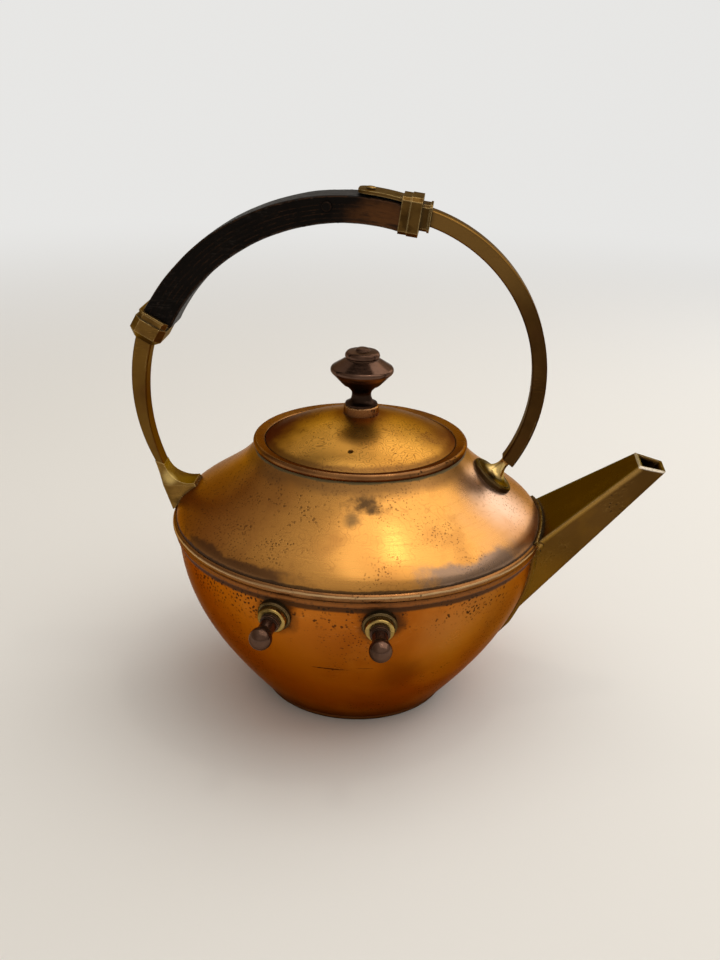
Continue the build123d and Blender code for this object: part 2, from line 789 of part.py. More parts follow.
def make_foot_studs():
    return [rod(f, foot_stud_r, -d - nut_h - 1.2, foot_stud_in)
            for f, d in zip(stud_frames(), foot_drops())]


def make_foot_nuts():
    return [hex_nut(f * Pos(0, 0, -d), nut_af, nut_h, foot_stud_r)
            for f, d in zip(stud_frames(), foot_drops())]


# Pegs

def make_peg_flange(f, body):
    disc = Pos(0, 0, peg_flange_t / 2 - foot_sink / 2) * Cylinder(
        peg_flange_r, peg_flange_t + foot_sink)
    disc = chamfer(disc.edges().group_by(Axis.Z)[-1], 0.6)
    return f * (disc - Cylinder(peg_shank_r + fit, 4 * foot_sink)) - body


def make_peg_collar(f):
    ring = Pos(0, 0, peg_flange_t + peg_collar_h / 2) * Cylinder(peg_collar_r, peg_collar_h)
    ring = fillet(ring.edges().group_by(Axis.Z)[-1], 1.0)
    return f * (ring - Cylinder(peg_shank_r + fit, 8 * peg_collar_h))


def peg_nut_drop(f):
    """The nut clears the round wall, and the tilt of the peg on it."""
    half = peg_nut_af * 0.577
    o, z = f.position, Plane(f).z_dir
    n = on_curve(bowl_curve(), peg_z, 1)[1]
    r = hypot(o.X, o.Y)
    straight = z.dot(Vector(n[0] * o.X / r, n[0] * o.Y / r, n[1]))
    return wall + sag(r - wall, half) + half * sqrt(1 - straight ** 2) + fit


def make_peg_pin(f):
    z0 = peg_flange_t + peg_collar_h
    drop = peg_nut_drop(f) + nut_h + 1.2
    rings = [(peg_ring_r, z0, z0 + 0.4 * peg_ring_h), (peg_neck_r, z0, peg_reach),
             (peg_ring_r, z0 + 0.6 * peg_ring_h, z0 + peg_ring_h)]
    pin = Pos(0, 0, (z0 - drop + 0.5) / 2) * Cylinder(peg_shank_r, z0 + drop + 0.5)
    for r, a, b in rings:
        pin += Pos(0, 0, (a + b) / 2) * Cylinder(r, b - a)
    pin += Pos(0, 0, peg_reach) * Sphere(peg_ball_r)
    join = peg_reach - sqrt(peg_ball_r ** 2 - peg_neck_r ** 2)
    edge = min(pin.edges(), key=lambda e: abs(e.center().Z - join))
    return f * fillet(edge, peg_blend)


def make_peg_nut(f):
    return hex_nut(f * Pos(0, 0, -peg_nut_drop(f)), peg_nut_af, nut_h, peg_shank_r)


def save(name, shapes):
    shapes = shapes if isinstance(shapes, list) else [shapes]
    solids = [s for shape in shapes for s in shape.solids()]
    node = solids[0] if len(solids) == 1 else Compound(solids)
    node.label = name
    export_step(node, "parts/" + name + ".step")
    print(name, len(solids), round(sum(s.volume for s in solids), 1))


def main():
    body = envelope()
    pegs = peg_frames()
    save("base_ring", make_base_ring())
    save("bowl", make_bowl())
    save("seam_bead", make_bead())
    save("shoulder", make_shoulder())
    save("mouth_ring", make_mouth_ring())
    save("spout_shell", make_spout_shell(body))
    save("spout_collar", make_spout_collar(body))
    save("peg_flanges", [make_peg_flange(f, body) for f in pegs])
    save("peg_collars", [make_peg_collar(f) for f in pegs])
    save("peg_pins", [make_peg_pin(f) for f in pegs])
    save("peg_nuts", [make_peg_nut(f) for f in pegs])
    save("rear_foot", make_rear_foot(body))
    save("rear_arm", make_rear_arm())
    save("rear_ferrule", make_rear_ferrule())
    save("grip", make_grip())
    save("front_ferrule", make_front_ferrule())
    save("ferrule_rivet", make_rivets())
    save("front_collar", make_front_collar())
    save("front_arm", make_front_arm())
    save("front_foot", make_front_foot(body))
    save("foot_studs", make_foot_studs())
    save("foot_nuts", make_foot_nuts())
    save("lid_dome", make_lid_dome())
    save("lid_sleeve", make_lid_sleeve())
    save("knob_collar", make_knob_collar())
    save("knob", make_knob())
    save("knob_stud", make_knob_stud())
    save("knob_nut", make_knob_nut())


main()
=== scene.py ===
import math
import bpy
from mathutils import Matrix, Vector


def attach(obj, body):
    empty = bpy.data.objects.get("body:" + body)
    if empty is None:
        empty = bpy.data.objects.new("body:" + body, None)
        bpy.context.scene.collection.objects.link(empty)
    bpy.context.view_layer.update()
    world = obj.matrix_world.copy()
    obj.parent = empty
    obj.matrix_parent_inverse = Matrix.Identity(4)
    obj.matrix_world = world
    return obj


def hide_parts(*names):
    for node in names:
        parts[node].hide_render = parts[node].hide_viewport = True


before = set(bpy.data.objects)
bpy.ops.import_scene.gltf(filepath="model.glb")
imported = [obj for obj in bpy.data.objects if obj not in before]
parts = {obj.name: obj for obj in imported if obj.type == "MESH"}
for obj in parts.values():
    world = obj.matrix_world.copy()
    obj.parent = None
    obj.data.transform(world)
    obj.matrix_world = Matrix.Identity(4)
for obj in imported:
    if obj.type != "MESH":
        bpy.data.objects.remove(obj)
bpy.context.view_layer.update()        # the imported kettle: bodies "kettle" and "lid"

millimetre = 0.001
print("frame:", len(parts), "nodes")


# small helpers

def clearSelection():
    if bpy.context.object and bpy.context.object.mode != "OBJECT":
        bpy.ops.object.mode_set(mode="OBJECT")
    bpy.ops.object.select_all(action="DESELECT")


def nameIt(name):
    piece = bpy.context.object
    piece.name = name
    piece.data.name = name
    return piece


def pick(piece):
    clearSelection()
    piece.select_set(True)
    bpy.context.view_layer.objects.active = piece


def settle(piece):        # place goes into the mesh, object stays at the origin
    pick(piece)
    bpy.ops.object.transform_apply(location=True, rotation=True, scale=True)


def applyModifier(piece, kind, **settings):
    pick(piece)
    modifier = piece.modifiers.new(kind.title(), kind)
    for key, value in settings.items():
        setattr(modifier, key, value)
    bpy.ops.object.modifier_apply(modifier=modifier.name)


def shadeByAngle(piece, degrees):
    pick(piece)
    bpy.ops.object.shade_smooth_by_angle(angle=math.radians(degrees))


# camera

cameraSetup = {
    "eye": (0.04531, -0.51432, 0.31777),
    "turn": 5.0,          # degrees
    "pitch": 22.246,
    "roll": 1.471,
    "lens": 43.125,       # millimetres, as is the sensor's width
    "sensor": 36.0,
    "nearest": 0.01,
}


def makeCamera(v):
    bpy.ops.object.camera_add(location=v["eye"])
    camera = bpy.context.object
    turn = Matrix.Rotation(math.radians(v["turn"]), 4, "Z")
    tip = Matrix.Rotation(math.radians(90 - v["pitch"]), 4, "X")
    roll = Matrix.Rotation(math.radians(v["roll"]), 4, "Z")
    camera.rotation_euler = (turn @ tip @ roll).to_euler()
    camera.data.lens = v["lens"]
    camera.data.sensor_width = v["sensor"]
    camera.data.clip_start = v["nearest"]
    bpy.context.scene.camera = camera


makeCamera(cameraSetup)
print("camera made")


# shader building

def addNode(tree, kind, place=(0, 0), inputs=None, **settings):
    node = tree.nodes.new(kind)
    node.location = place
    for key, value in settings.items():
        setattr(node, key, value)
    for key, value in (inputs or {}).items():
        node.inputs[key].default_value = value
    return node


def join(tree, source, target):        # a plain value is set, an output is linked
    if isinstance(source, (int, float, tuple)):
        target.default_value = source
    else:
        tree.links.new(source, target)


def newGroup(name, inputs):
    tree = bpy.data.node_groups.new(name, "ShaderNodeTree")
    for label, value in inputs.items():
        kind = "NodeSocketVector" if isinstance(value, tuple) else "NodeSocketFloat"
        socket = tree.interface.new_socket(label, in_out="INPUT", socket_type=kind)
        socket.default_value = value
    socket = tree.interface.new_socket("Mask", in_out="OUTPUT", socket_type="NodeSocketFloat")
    start = addNode(tree, "NodeGroupInput", (-1200, 0))
    return tree, start, addNode(tree, "NodeGroupOutput", (600, 0))


def math2(tree, operation, a, b=None, place=(0, 0), clamp=False):
    node = addNode(tree, "ShaderNodeMath", place, operation=operation, use_clamp=clamp)
    join(tree, a, node.inputs[0])
    if b is not None:
        join(tree, b, node.inputs[1])
    return node.outputs[0]


def vectorMath(tree, operation, a, b=None, result=0):
    node = addNode(tree, "ShaderNodeVectorMath", (-600, 0), operation=operation)
    join(tree, a, node.inputs[0])
    if b is not None:
        join(tree, b, node.inputs[1])
    return node.outputs[result]


def splitPlace(tree, place):        # its x, y and z
    split = addNode(tree, "ShaderNodeSeparateXYZ", (-800, 0))
    join(tree, place, split.inputs[0])
    return split.outputs


def combine(tree, *values):
    node = addNode(tree, "ShaderNodeCombineXYZ", (-300, 0))
    for socket, value in zip(node.inputs, values):
        join(tree, value, socket)
    return node.outputs[0]


def distanceOut(tree, a, b):        # from the line where both are 0
    return math2(tree, "SQRT", math2(tree, "ADD", math2(tree, "MULTIPLY", a, a),
                                     math2(tree, "MULTIPLY", b, b)))


def ramp(tree, value, low, high):        # 0 at low, 1 at high, smooth between
    node = addNode(tree, "ShaderNodeMapRange", interpolation_type="SMOOTHSTEP")
    for socket, item in (("Value", value), ("From Min", low), ("From Max", high)):
        join(tree, item, node.inputs[socket])
    return node.outputs["Result"]


def noiseAt(tree, place, scale, detail=3.0, rough=0.55):
    node = addNode(tree, "ShaderNodeTexNoise")
    for socket, item in (("Vector", place), ("Scale", scale), ("Detail", detail),
                         ("Roughness", rough)):
        join(tree, item, node.inputs[socket])
    return node.outputs["Fac"]


def objectPlace(tree):
    return addNode(tree, "ShaderNodeTexCoord", (-1000, -200)).outputs["Object"]


def giveMask(tree, start, end, mask):
    join(tree, math2(tree, "MULTIPLY", mask, start.outputs["Amount"]), end.inputs["Mask"])


# effects: each is a group that gives a mask, 0 where it leaves a surface as it is

effectSetup = {        # metres; a scale is in cells a metre, an edge is a width of the mask
    "pitSizeScale": 900.0, "pitEdge": 0.08, "pitCoverEdge": 0.12,
    "scratchStretch": (1.0, 9.0, 9.0), "scratchEdge": 0.02,
    "scratchCoverScale": 45.0, "scratchCoverEdge": 0.10,
    "etchingEdge": 0.14, "etchingCoverScale": 38.0, "etchingCoverEdge": 0.15,
    "edgeRadius": 0.0007, "edgePatchScale": 220.0, "edgePatchLow": 0.3,
    "cornerReach": 0.004, "cornerScale": 260.0,
    "grainRadius": 0.1,        # of the arc that the wood's grain follows
    "samples": 4,        # of the nodes that look round an edge or a corner
}
ragged = (4.0, 0.65)        # detail and roughness of the clouds that break a rim


def makeBlotches():
    tree, start, end = newGroup("blotches", {"Scale": 20.0, "Detail": 3.0, "Low": 0.45,
                                             "High": 0.65, "Shift": (0.0, 0.0, 0.0),
                                             "Amount": 1.0})
    place = vectorMath(tree, "ADD", objectPlace(tree), start.outputs["Shift"])
    cloud = noiseAt(tree, place, start.outputs["Scale"], start.outputs["Detail"])
    giveMask(tree, start, end, ramp(tree, cloud, start.outputs["Low"], start.outputs["High"]))
    return tree


def makePits(v):
    tree, start, end = newGroup("pits", {"Scale": 600.0, "Size": 0.3, "Cover Scale": 30.0,
                                         "Cover": 0.5, "Amount": 1.0})
    place = objectPlace(tree)
    cells = addNode(tree, "ShaderNodeTexVoronoi", (-800, 200))
    join(tree, place, cells.inputs["Vector"])
    join(tree, start.outputs["Scale"], cells.inputs["Scale"])
    reach = math2(tree, "MULTIPLY", noiseAt(tree, place, v["pitSizeScale"], 1.0),
                  start.outputs["Size"])
    dots = ramp(tree, math2(tree, "SUBTRACT", reach, cells.outputs["Distance"]), 0.0, v["pitEdge"])
    cloud = noiseAt(tree, place, start.outputs["Cover Scale"], *ragged)
    there = ramp(tree, math2(tree, "SUBTRACT", cloud, start.outputs["Cover"]), 0.0,
                 v["pitCoverEdge"])
    giveMask(tree, start, end, math2(tree, "MULTIPLY", dots, there))
    return tree


def makeTurningMarks():        # fine rings round the axis
    tree, start, end = newGroup("turningMarks", {"Around": 3.0, "Fine": 1500.0, "Low": 0.5,
                                                 "High": 0.7, "Amount": 1.0})
    x, y, z = splitPlace(tree, objectPlace(tree))
    around = math2(tree, "MULTIPLY", math2(tree, "ARCTAN2", y, x), start.outputs["Around"])
    out = math2(tree, "MULTIPLY", distanceOut(tree, x, y), start.outputs["Fine"])
    up = math2(tree, "MULTIPLY", z, start.outputs["Fine"])
    cloud = noiseAt(tree, combine(tree, around, out, up), 1.0, 2.0)
    giveMask(tree, start, end, ramp(tree, cloud, start.outputs["Low"], start.outputs["High"]))
    return tree


def makeScratches(v):        # thin lines in one direction, broken up
    tree, start, end = newGroup("scratches", {"Scale": 60.0, "Turn": (0.0, 0.0, 0.0),
                                              "Thin": 0.04, "Cover": 0.45, "Amount": 1.0})
    place = objectPlace(tree)
    turn = addNode(tree, "ShaderNodeMapping", (-800, 0), inputs={"Scale": v["scratchStretch"]})
    join(tree, place, turn.inputs["Vector"])
    join(tree, start.outputs["Turn"], turn.inputs["Rotation"])
    cloud = noiseAt(tree, turn.outputs[0], start.outputs["Scale"], 2.0)
    line = math2(tree, "ABSOLUTE", math2(tree, "SUBTRACT", cloud, 0.5))
    thin = ramp(tree, math2(tree, "SUBTRACT", start.outputs["Thin"], line), 0.0, v["scratchEdge"])
    cover = math2(tree, "SUBTRACT", noiseAt(tree, place, v["scratchCoverScale"]),
                  start.outputs["Cover"])
    there = ramp(tree, cover, 0.0, v["scratchCoverEdge"])
    giveMask(tree, start, end, math2(tree, "MULTIPLY", thin, there))
    return tree


def makeEtching(v):        # winding lines like those that cleaning and damp leave
    tree, start, end = newGroup("etching", {"Scale": 60.0, "Lines": 14.0, "Thin": 0.22,
                                            "Cover": 0.4, "Amount": 1.0})
    place = objectPlace(tree)
    cloud = noiseAt(tree, place, start.outputs["Scale"], 2.0)
    wave = math2(tree, "PINGPONG", math2(tree, "MULTIPLY", cloud, start.outputs["Lines"]), 0.5)
    thin = ramp(tree, math2(tree, "SUBTRACT", start.outputs["Thin"], wave), 0.0, v["etchingEdge"])
    cover = math2(tree, "SUBTRACT", noiseAt(tree, place, v["etchingCoverScale"]),
                  start.outputs["Cover"])
    there = ramp(tree, cover, 0.0, v["etchingCoverEdge"])
    giveMask(tree, start, end, math2(tree, "MULTIPLY", thin, there))
    return tree


def makeEdgeWear(v):
    tree, start, end = newGroup("edgeWear", {"Low": 0.02, "High": 0.12, "Break": 0.6,
                                             "Amount": 1.0})
    soft = addNode(tree, "ShaderNodeBevel", (-800, 200), samples=v["samples"],
                   inputs={"Radius": v["edgeRadius"]})
    flat = addNode(tree, "ShaderNodeNewGeometry", (-800, 0))
    same = vectorMath(tree, "DOT_PRODUCT", soft.outputs[0], flat.outputs["Normal"], "Value")
    edge = ramp(tree, math2(tree, "SUBTRACT", 1.0, same), start.outputs["Low"],
                start.outputs["High"])
    patch = ramp(tree, noiseAt(tree, objectPlace(tree), v["edgePatchScale"]), v["edgePatchLow"],
                 math2(tree, "ADD", start.outputs["Break"], 0.01))
    giveMask(tree, start, end, math2(tree, "MULTIPLY", edge, patch))
    return tree


# painted shade: darkens corners, creases and the joins between parts, where the ambient occlusion
# node finds other surfaces close by
def makePaintedCornerShade(v):
    tree, start, end = newGroup("cornerGrime", {"Low": 0.35, "High": 0.85, "Break": 0.25,
                                                "Amount": 1.0})
    near = addNode(tree, "ShaderNodeAmbientOcclusion", (-800, 200), samples=v["samples"],
                   inputs={"Distance": v["cornerReach"]})
    cloud = noiseAt(tree, objectPlace(tree), v["cornerScale"], *ragged)
    shift = math2(tree, "MULTIPLY", math2(tree, "SUBTRACT", cloud, 0.5), start.outputs["Break"])
    openness = math2(tree, "ADD", near.outputs["AO"], shift)
    unshaded = ramp(tree, openness, start.outputs["Low"], start.outputs["High"])
    giveMask(tree, start, end, math2(tree, "SUBTRACT", 1.0, unshaded))
    return tree


def raggedSpot(tree, start, end, place, distance):        # full near, broken at its rim
    part = math2(tree, "DIVIDE", distance, start.outputs["Radius"])
    cloud = noiseAt(tree, place, start.outputs["Break Scale"], *ragged)
    shift = math2(tree, "MULTIPLY", math2(tree, "SUBTRACT", cloud, 0.5),
                  math2(tree, "MULTIPLY", start.outputs["Break"], 2.0))
    level = math2(tree, "ADD", part, shift)
    inner = math2(tree, "SUBTRACT", 1.0, start.outputs["Soft"])
    outside = ramp(tree, level, inner, 1.001)        # past 1, so that Soft may be 0
    giveMask(tree, start, end, math2(tree, "SUBTRACT", 1.0, outside))


def makeMark():        # one spot at a place: a stain, chip or scratch, or a painted highlight, reflection or shade
    tree, start, end = newGroup("mark", {"Centre": (0.0, 0.0, 0.0), "Stretch": (1.0, 1.0, 1.0),
                                         "Radius": 0.01, "Soft": 0.5, "Break": 0.4,
                                         "Break Scale": 120.0, "Amount": 1.0})
    place = objectPlace(tree)
    away = vectorMath(tree, "SUBTRACT", place, start.outputs["Centre"])
    scaled = vectorMath(tree, "MULTIPLY", away, start.outputs["Stretch"])
    raggedSpot(tree, start, end, place, vectorMath(tree, "LENGTH", scaled, result="Value"))
    return tree


def makeStreak():        # a line between two places, used for painted highlights
    tree, start, end = newGroup("streak", {"Start": (0.0, 0.0, 0.0), "End": (0.0, 0.0, 1.0),
                                           "Radius": 0.001, "Soft": 0.5, "Break": 0.3,
                                           "Break Scale": 120.0, "Amount": 1.0})
    place = objectPlace(tree)
    away = vectorMath(tree, "SUBTRACT", place, start.outputs["Start"])
    along = vectorMath(tree, "SUBTRACT", start.outputs["End"], start.outputs["Start"])
    share = math2(tree, "DIVIDE", vectorMath(tree, "DOT_PRODUCT", away, along, "Value"),
                  vectorMath(tree, "DOT_PRODUCT", along, along, "Value"), clamp=True)
    nearest = addNode(tree, "ShaderNodeVectorMath", (-400, 0), operation="SCALE")
    join(tree, along, nearest.inputs[0])
    join(tree, share, nearest.inputs["Scale"])
    distance = vectorMath(tree, "DISTANCE", away, nearest.outputs[0], "Value")
    raggedSpot(tree, start, end, place, distance)
    return tree


def makeBand(name, roundAxis):        # full between two heights, or between two distances out
    tree, start, end = newGroup(name, {"From": 0.0, "To": 1.0, "Soft": 0.002, "Break": 0.0,
                                       "Break Scale": 60.0, "Amount": 1.0})
    place = objectPlace(tree)
    x, y, z = splitPlace(tree, place)
    height = distanceOut(tree, x, y) if roundAxis else z
    cloud = noiseAt(tree, place, start.outputs["Break Scale"], 5.0, 0.65)
    shift = math2(tree, "MULTIPLY", math2(tree, "SUBTRACT", cloud, 0.5), start.outputs["Break"])
    level = math2(tree, "ADD", height, shift)
    low, high, soft = (start.outputs[name] for name in ("From", "To", "Soft"))
    rise = ramp(tree, level, math2(tree, "SUBTRACT", low, soft), low)
    fall = ramp(tree, level, high, math2(tree, "ADD", high, soft))
    giveMask(tree, start, end, math2(tree, "MULTIPLY", rise, math2(tree, "SUBTRACT", 1.0, fall)))
    return tree


def makeWoodGrain(v):        # runs along an arc round Centre, in the plane of the handle
    tree, start, end = newGroup("woodGrain", {"Centre": (0.0, 0.0, 0.0), "Along": 25.0,
                                              "Across": 420.0, "Low": 0.4, "High": 0.65,
                                              "Amount": 1.0})
    away = vectorMath(tree, "SUBTRACT", objectPlace(tree), start.outputs["Centre"])
    x, y, z = splitPlace(tree, away)
    turned = math2(tree, "MULTIPLY", math2(tree, "ARCTAN2", z, x), v["grainRadius"])
    along = math2(tree, "MULTIPLY", turned, start.outputs["Along"])
    across = math2(tree, "MULTIPLY", y, start.outputs["Across"])
    out = math2(tree, "MULTIPLY", distanceOut(tree, x, z), start.outputs["Across"])
    cloud = noiseAt(tree, combine(tree, along, across, out), 1.0, 5.0, 0.6)
    giveMask(tree, start, end, ramp(tree, cloud, start.outputs["Low"], start.outputs["High"]))
    return tree


effects = {
    "blotches": makeBlotches(), "pits": makePits(effectSetup), "mark": makeMark(),
    "turningMarks": makeTurningMarks(), "scratches": makeScratches(effectSetup),
    "etching": makeEtching(effectSetup), "edgeWear": makeEdgeWear(effectSetup),
    "cornerGrime": makePaintedCornerShade(effectSetup), "streak": makeStreak(),
    "heightBand": makeBand("heightBand", False), "outBand": makeBand("outBand", True),
    "woodGrain": makeWoodGrain(effectSetup),
}
print("shader groups made:", len(effects))


def maskOf(tree, effect, values, place):
    node = addNode(tree, "ShaderNodeGroup", place, node_tree=effects[effect])
    for key, value in values.items():
        node.inputs[key].default_value = value
    return node.outputs["Mask"]


def mixFloat(tree, mask, a, b, place):
    node = addNode(tree, "ShaderNodeMix", place, data_type="FLOAT")
    for socket, item in (("Factor", mask), ("A", a), ("B", b)):
        join(tree, item, node.inputs[socket])
    return node.outputs["Result"]


def mixColour(tree, mask, a, b, place):
    node = addNode(tree, "ShaderNodeMix", place, data_type="RGBA")
    for socket, item in (("Factor", mask), (6, a), (7, b)):
        join(tree, item, node.inputs[socket])
    return node.outputs[2]


def solid(colour):        # with its alpha
    return (*colour, 1.0)


def layeredMaterial(name, base, layers):
    material = bpy.data.materials.new(name)
    material.use_nodes = True
    material.diffuse_color = solid(base["colour"])
    tree = material.node_tree
    shader = tree.nodes["Principled BSDF"]
    shader.location = (900, 0)
    if "shine" in base:
        shader.inputs["Specular IOR Level"].default_value = base["shine"]
    if "edgeTint" in base:        # what a metal mirrors at a low angle
        shader.inputs["Specular Tint"].default_value = solid(base["edgeTint"])
    colour, rough, metal, height = solid(base["colour"]), base["rough"], base["metal"], None
    masks, row = {}, 0
    for layer in layers:
        row -= 220
        key = str(layer["mask"])
        if key not in masks:
            masks[key] = maskOf(tree, *layer["mask"], (-600, row))
        mask = masks[key]
        if "within" in layer:
            mask = math2(tree, "MULTIPLY", mask, maskOf(tree, *layer["within"], (-600, row - 110)),
                         (-400, row))
        if "colour" in layer:
            colour = mixColour(tree, mask, colour, solid(layer["colour"]), (0, row))
        if "rough" in layer:
            rough = mixFloat(tree, mask, rough, layer["rough"], (200, row))
        if "metal" in layer:
            metal = mixFloat(tree, mask, metal, layer["metal"], (400, row))
        if "height" in layer:        # in millimetres
            lift = math2(tree, "MULTIPLY", mask, layer["height"], (200, row - 100))
            height = lift if height is None else math2(tree, "ADD", height, lift, (400, row - 100))
    for socket, value in (("Base Color", colour), ("Roughness", rough), ("Metallic", metal)):
        join(tree, value, shader.inputs[socket])
    edge = addNode(tree, "ShaderNodeBevel", (400, -400), samples=effectSetup["samples"],
                   inputs={"Radius": base["edge"]})
    normal = edge.outputs[0]
    if height is not None:
        bump = addNode(tree, "ShaderNodeBump", (650, -300),
                       inputs={"Distance": millimetre, "Strength": 1.0})
        join(tree, height, bump.inputs["Height"])
        join(tree, normal, bump.inputs["Normal"])
        normal = bump.outputs[0]
    join(tree, normal, shader.inputs["Normal"])
    return material


def give(material, *names):
    for name in names:
        piece = parts[name] if name in parts else bpy.data.objects[name]
        piece.data.materials.clear()
        piece.data.materials.append(material)


# wooden grip: a bar drawn along the bow of the handle, worn and a little uneven

gripShape = {
    "rearEnd": (-0.0956, 0.0, 0.1850),
    "frontEnd": (0.0155, 0.0, 0.2354),
    "bow": 0.0213,
    "tilts": (61.2, 24.4, -7.2),        # degrees: direction at the rear, the middle, the front
    "depths": (0.0142, 0.0124, 0.0112),
    "width": 0.0210,
    "corner": 0.0021,
    "cuts": 5,        # of the section, each way
    "steps": 40,        # along the wood
    "fineLevels": 2,        # of subdivision, for the unevenness
    "clouds": ((0.018, 0.0005), (0.006, 0.00007)),        # size and depth: hand work, grain
}
gripDents = [        # shifts of the whole wood, kept as they are: see makeGrip
    {"at": (-0.0600, -0.0105, 0.2290), "push": (0.0002, 0.0006, -0.0009), "reach": 0.0030},
    {"at": (-0.0555, -0.0105, 0.2325), "push": (0.0, 0.0004, -0.0005), "reach": 0.0050},
    {"at": (-0.0990, -0.0105, 0.1910), "push": (0.0014, 0.0003, -0.0004), "reach": 0.0075},
    {"at": (-0.0845, -0.0105, 0.1870), "push": (-0.0010, 0.0002, 0.0008), "reach": 0.0055},
    {"at": (0.0040, -0.0105, 0.2430), "push": (0.0, 0.0003, -0.0004), "reach": 0.0040},
    {"at": (-0.0330, -0.0105, 0.2285), "push": (0.0, 0.0003, 0.0005), "reach": 0.0060},
    {"at": (-0.0800, 0.0105, 0.2130), "push": (0.0004, -0.0005, -0.0006), "reach": 0.0045},
]


def between(values, t):        # smooth curve through three values
    a, b, c = values
    return a * (1 - t) * (1 - 2 * t) + 4 * b * t * (1 - t) + c * t * (2 * t - 1)


def gripPlace(v, t):        # middle of the wood, its direction and its depth
    rear, front = Vector(v["rearEnd"]), Vector(v["frontEnd"])
    chord = front - rear
    along = chord.normalized()
    up = Vector((-along.z, 0, along.x))
    radius = (chord.length ** 2 / 4 + v["bow"] ** 2) / (2 * v["bow"])
    half = math.asin(chord.length / 2 / radius)
    centre = (rear + front) / 2 + up * (v["bow"] - radius)
    turn = (2 * t - 1) * half
    place = centre + radius * (up * math.cos(turn) + along * math.sin(turn))
    return place, math.radians(between(v["tilts"], t)), between(v["depths"], t)


def selectNear(piece, place, reach):
    bpy.ops.object.mode_set(mode="OBJECT")
    for vertex in piece.data.vertices:
        vertex.select = (vertex.co - place).length < reach
    bpy.ops.object.mode_set(mode="EDIT")
    bpy.ops.mesh.select_mode(type="VERT")


def makeGrip(v, dents):
    place, tilt, depth = gripPlace(v, 0)
    clearSelection()
    bpy.ops.mesh.primitive_plane_add(size=1)
    grip = nameIt("gripWood")
    bpy.ops.object.mode_set(mode="EDIT")
    bpy.ops.mesh.subdivide(number_cuts=v["cuts"])
    bpy.ops.transform.resize(value=(depth, v["width"], 1))
    bpy.ops.object.mode_set(mode="OBJECT")
    for vertex in grip.data.vertices:
        x, y = abs(vertex.co.x) / depth, abs(vertex.co.y) / v["width"]
        vertex.select = min(x, y) > 0.49        # the four corners, at 0.5
    bpy.ops.object.mode_set(mode="EDIT")
    bpy.ops.mesh.select_mode(type="VERT")
    # known fault: all points are still selected here, so narrow flaps stand at the four edges
    bpy.ops.mesh.bevel(offset=v["corner"], segments=2, affect="VERTICES")
    bpy.ops.object.mode_set(mode="OBJECT")
    facing = math.atan2(-math.cos(tilt), -math.sin(tilt))
    grip.rotation_euler = (0, facing, 0)
    grip.location = place
    settle(grip)
    bpy.ops.object.mode_set(mode="EDIT")
    bpy.ops.mesh.select_mode(type="FACE")
    bpy.ops.mesh.select_all(action="SELECT")
    for i in range(1, v["steps"] + 1):
        there, lean, thick = gripPlace(v, i / v["steps"])
        bpy.ops.mesh.extrude_region_move(TRANSFORM_OT_translate={"value": there - place})
        bpy.ops.transform.rotate(value=lean - tilt, orient_axis="Y", center_override=there)
        k = thick / depth
        bpy.ops.transform.resize(value=(k, 1, k), center_override=there)
        place, tilt, depth = there, lean, thick
    bpy.ops.mesh.select_all(action="SELECT")
    bpy.ops.mesh.normals_make_consistent(inside=False)
    for dent in dents:        # known fault: all points are still selected, so all of them move
        selectNear(grip, Vector(dent["at"]), dent["reach"])
        bpy.ops.transform.translate(value=dent["push"], use_proportional_edit=True,
                                    proportional_size=1.5 * dent["reach"])
    bpy.ops.object.mode_set(mode="OBJECT")
    applyModifier(grip, "SUBSURF", subdivision_type="SIMPLE", levels=v["fineLevels"],
                  render_levels=v["fineLevels"])
    for size, uneven in v["clouds"]:
        cloud = bpy.data.textures.new("unevenness", "CLOUDS")
        cloud.noise_scale = size
        cloud.noise_depth = 2
        applyModifier(grip, "DISPLACE", texture=cloud, texture_coords="LOCAL", mid_level=1.0,
                      strength=uneven)        # only inwards, so that it stays in the CAD box
    shadeByAngle(grip, 35)
    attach(grip, "kettle")
    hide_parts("grip")


makeGrip(gripShape, gripDents)
print("grip made")


# round wooden plug that closes an old pin hole in the side of the grip

plugShape = {
    "at": (-0.0165, -0.0104, 0.2381),        # on the side of the wood
    "radius": 0.0021,
    "length": 0.004,
    "stand": 0.00045,        # how far it stands proud
    "corner": 0.00025,
    "sides": 48,
}


def makePlug(v):
    clearSelection()
    bpy.ops.mesh.primitive_cylinder_add(vertices=v["sides"], radius=v["radius"], depth=v["length"],
                                        location=(0, 0, 0), rotation=(math.pi / 2, 0, 0))
    plug = nameIt("gripPlug")
    plug.location = Vector(v["at"]) + Vector((0, v["length"] / 2 - v["stand"], 0))
    settle(plug)
    applyModifier(plug, "BEVEL", width=v["corner"], segments=2, limit_method="ANGLE")
    shadeByAngle(plug, 30)
    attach(plug, "kettle")


makePlug(plugShape)
print("plug made")


# finishes

warmDark = (0.030, 0.016, 0.009)
oldGreen = (0.085, 0.085, 0.045)
wornBrass = (0.64, 0.45, 0.19)


def wornEdge(low, high, patchy, amount, colour, rough):
    return {"mask": ("edgeWear", {"Low": low, "High": high, "Break": patchy, "Amount": amount}),
            "colour": colour, "rough": rough}


# a layer of painted shade in corners and at the joins between parts
def cornerShadeLayer(colour, low=0.35, high=0.80, amount=0.9, rough=0.65, metal=0.3):
    return {"mask": ("cornerGrime", {"Low": low, "High": high, "Break": 0.5, "Amount": amount}),
            "colour": colour, "rough": rough, "metal": metal}


def pegDirtAndDarkReflection(centre):        # dirt round a peg's disc, and partly a painted dark reflection there
    return {"mask": ("mark", {"Centre": centre, "Radius": 0.0125, "Soft": 0.45, "Break": 0.35,
                              "Break Scale": 130.0, "Amount": 0.85}),
            "colour": (0.060, 0.024, 0.010), "rough": 0.5}


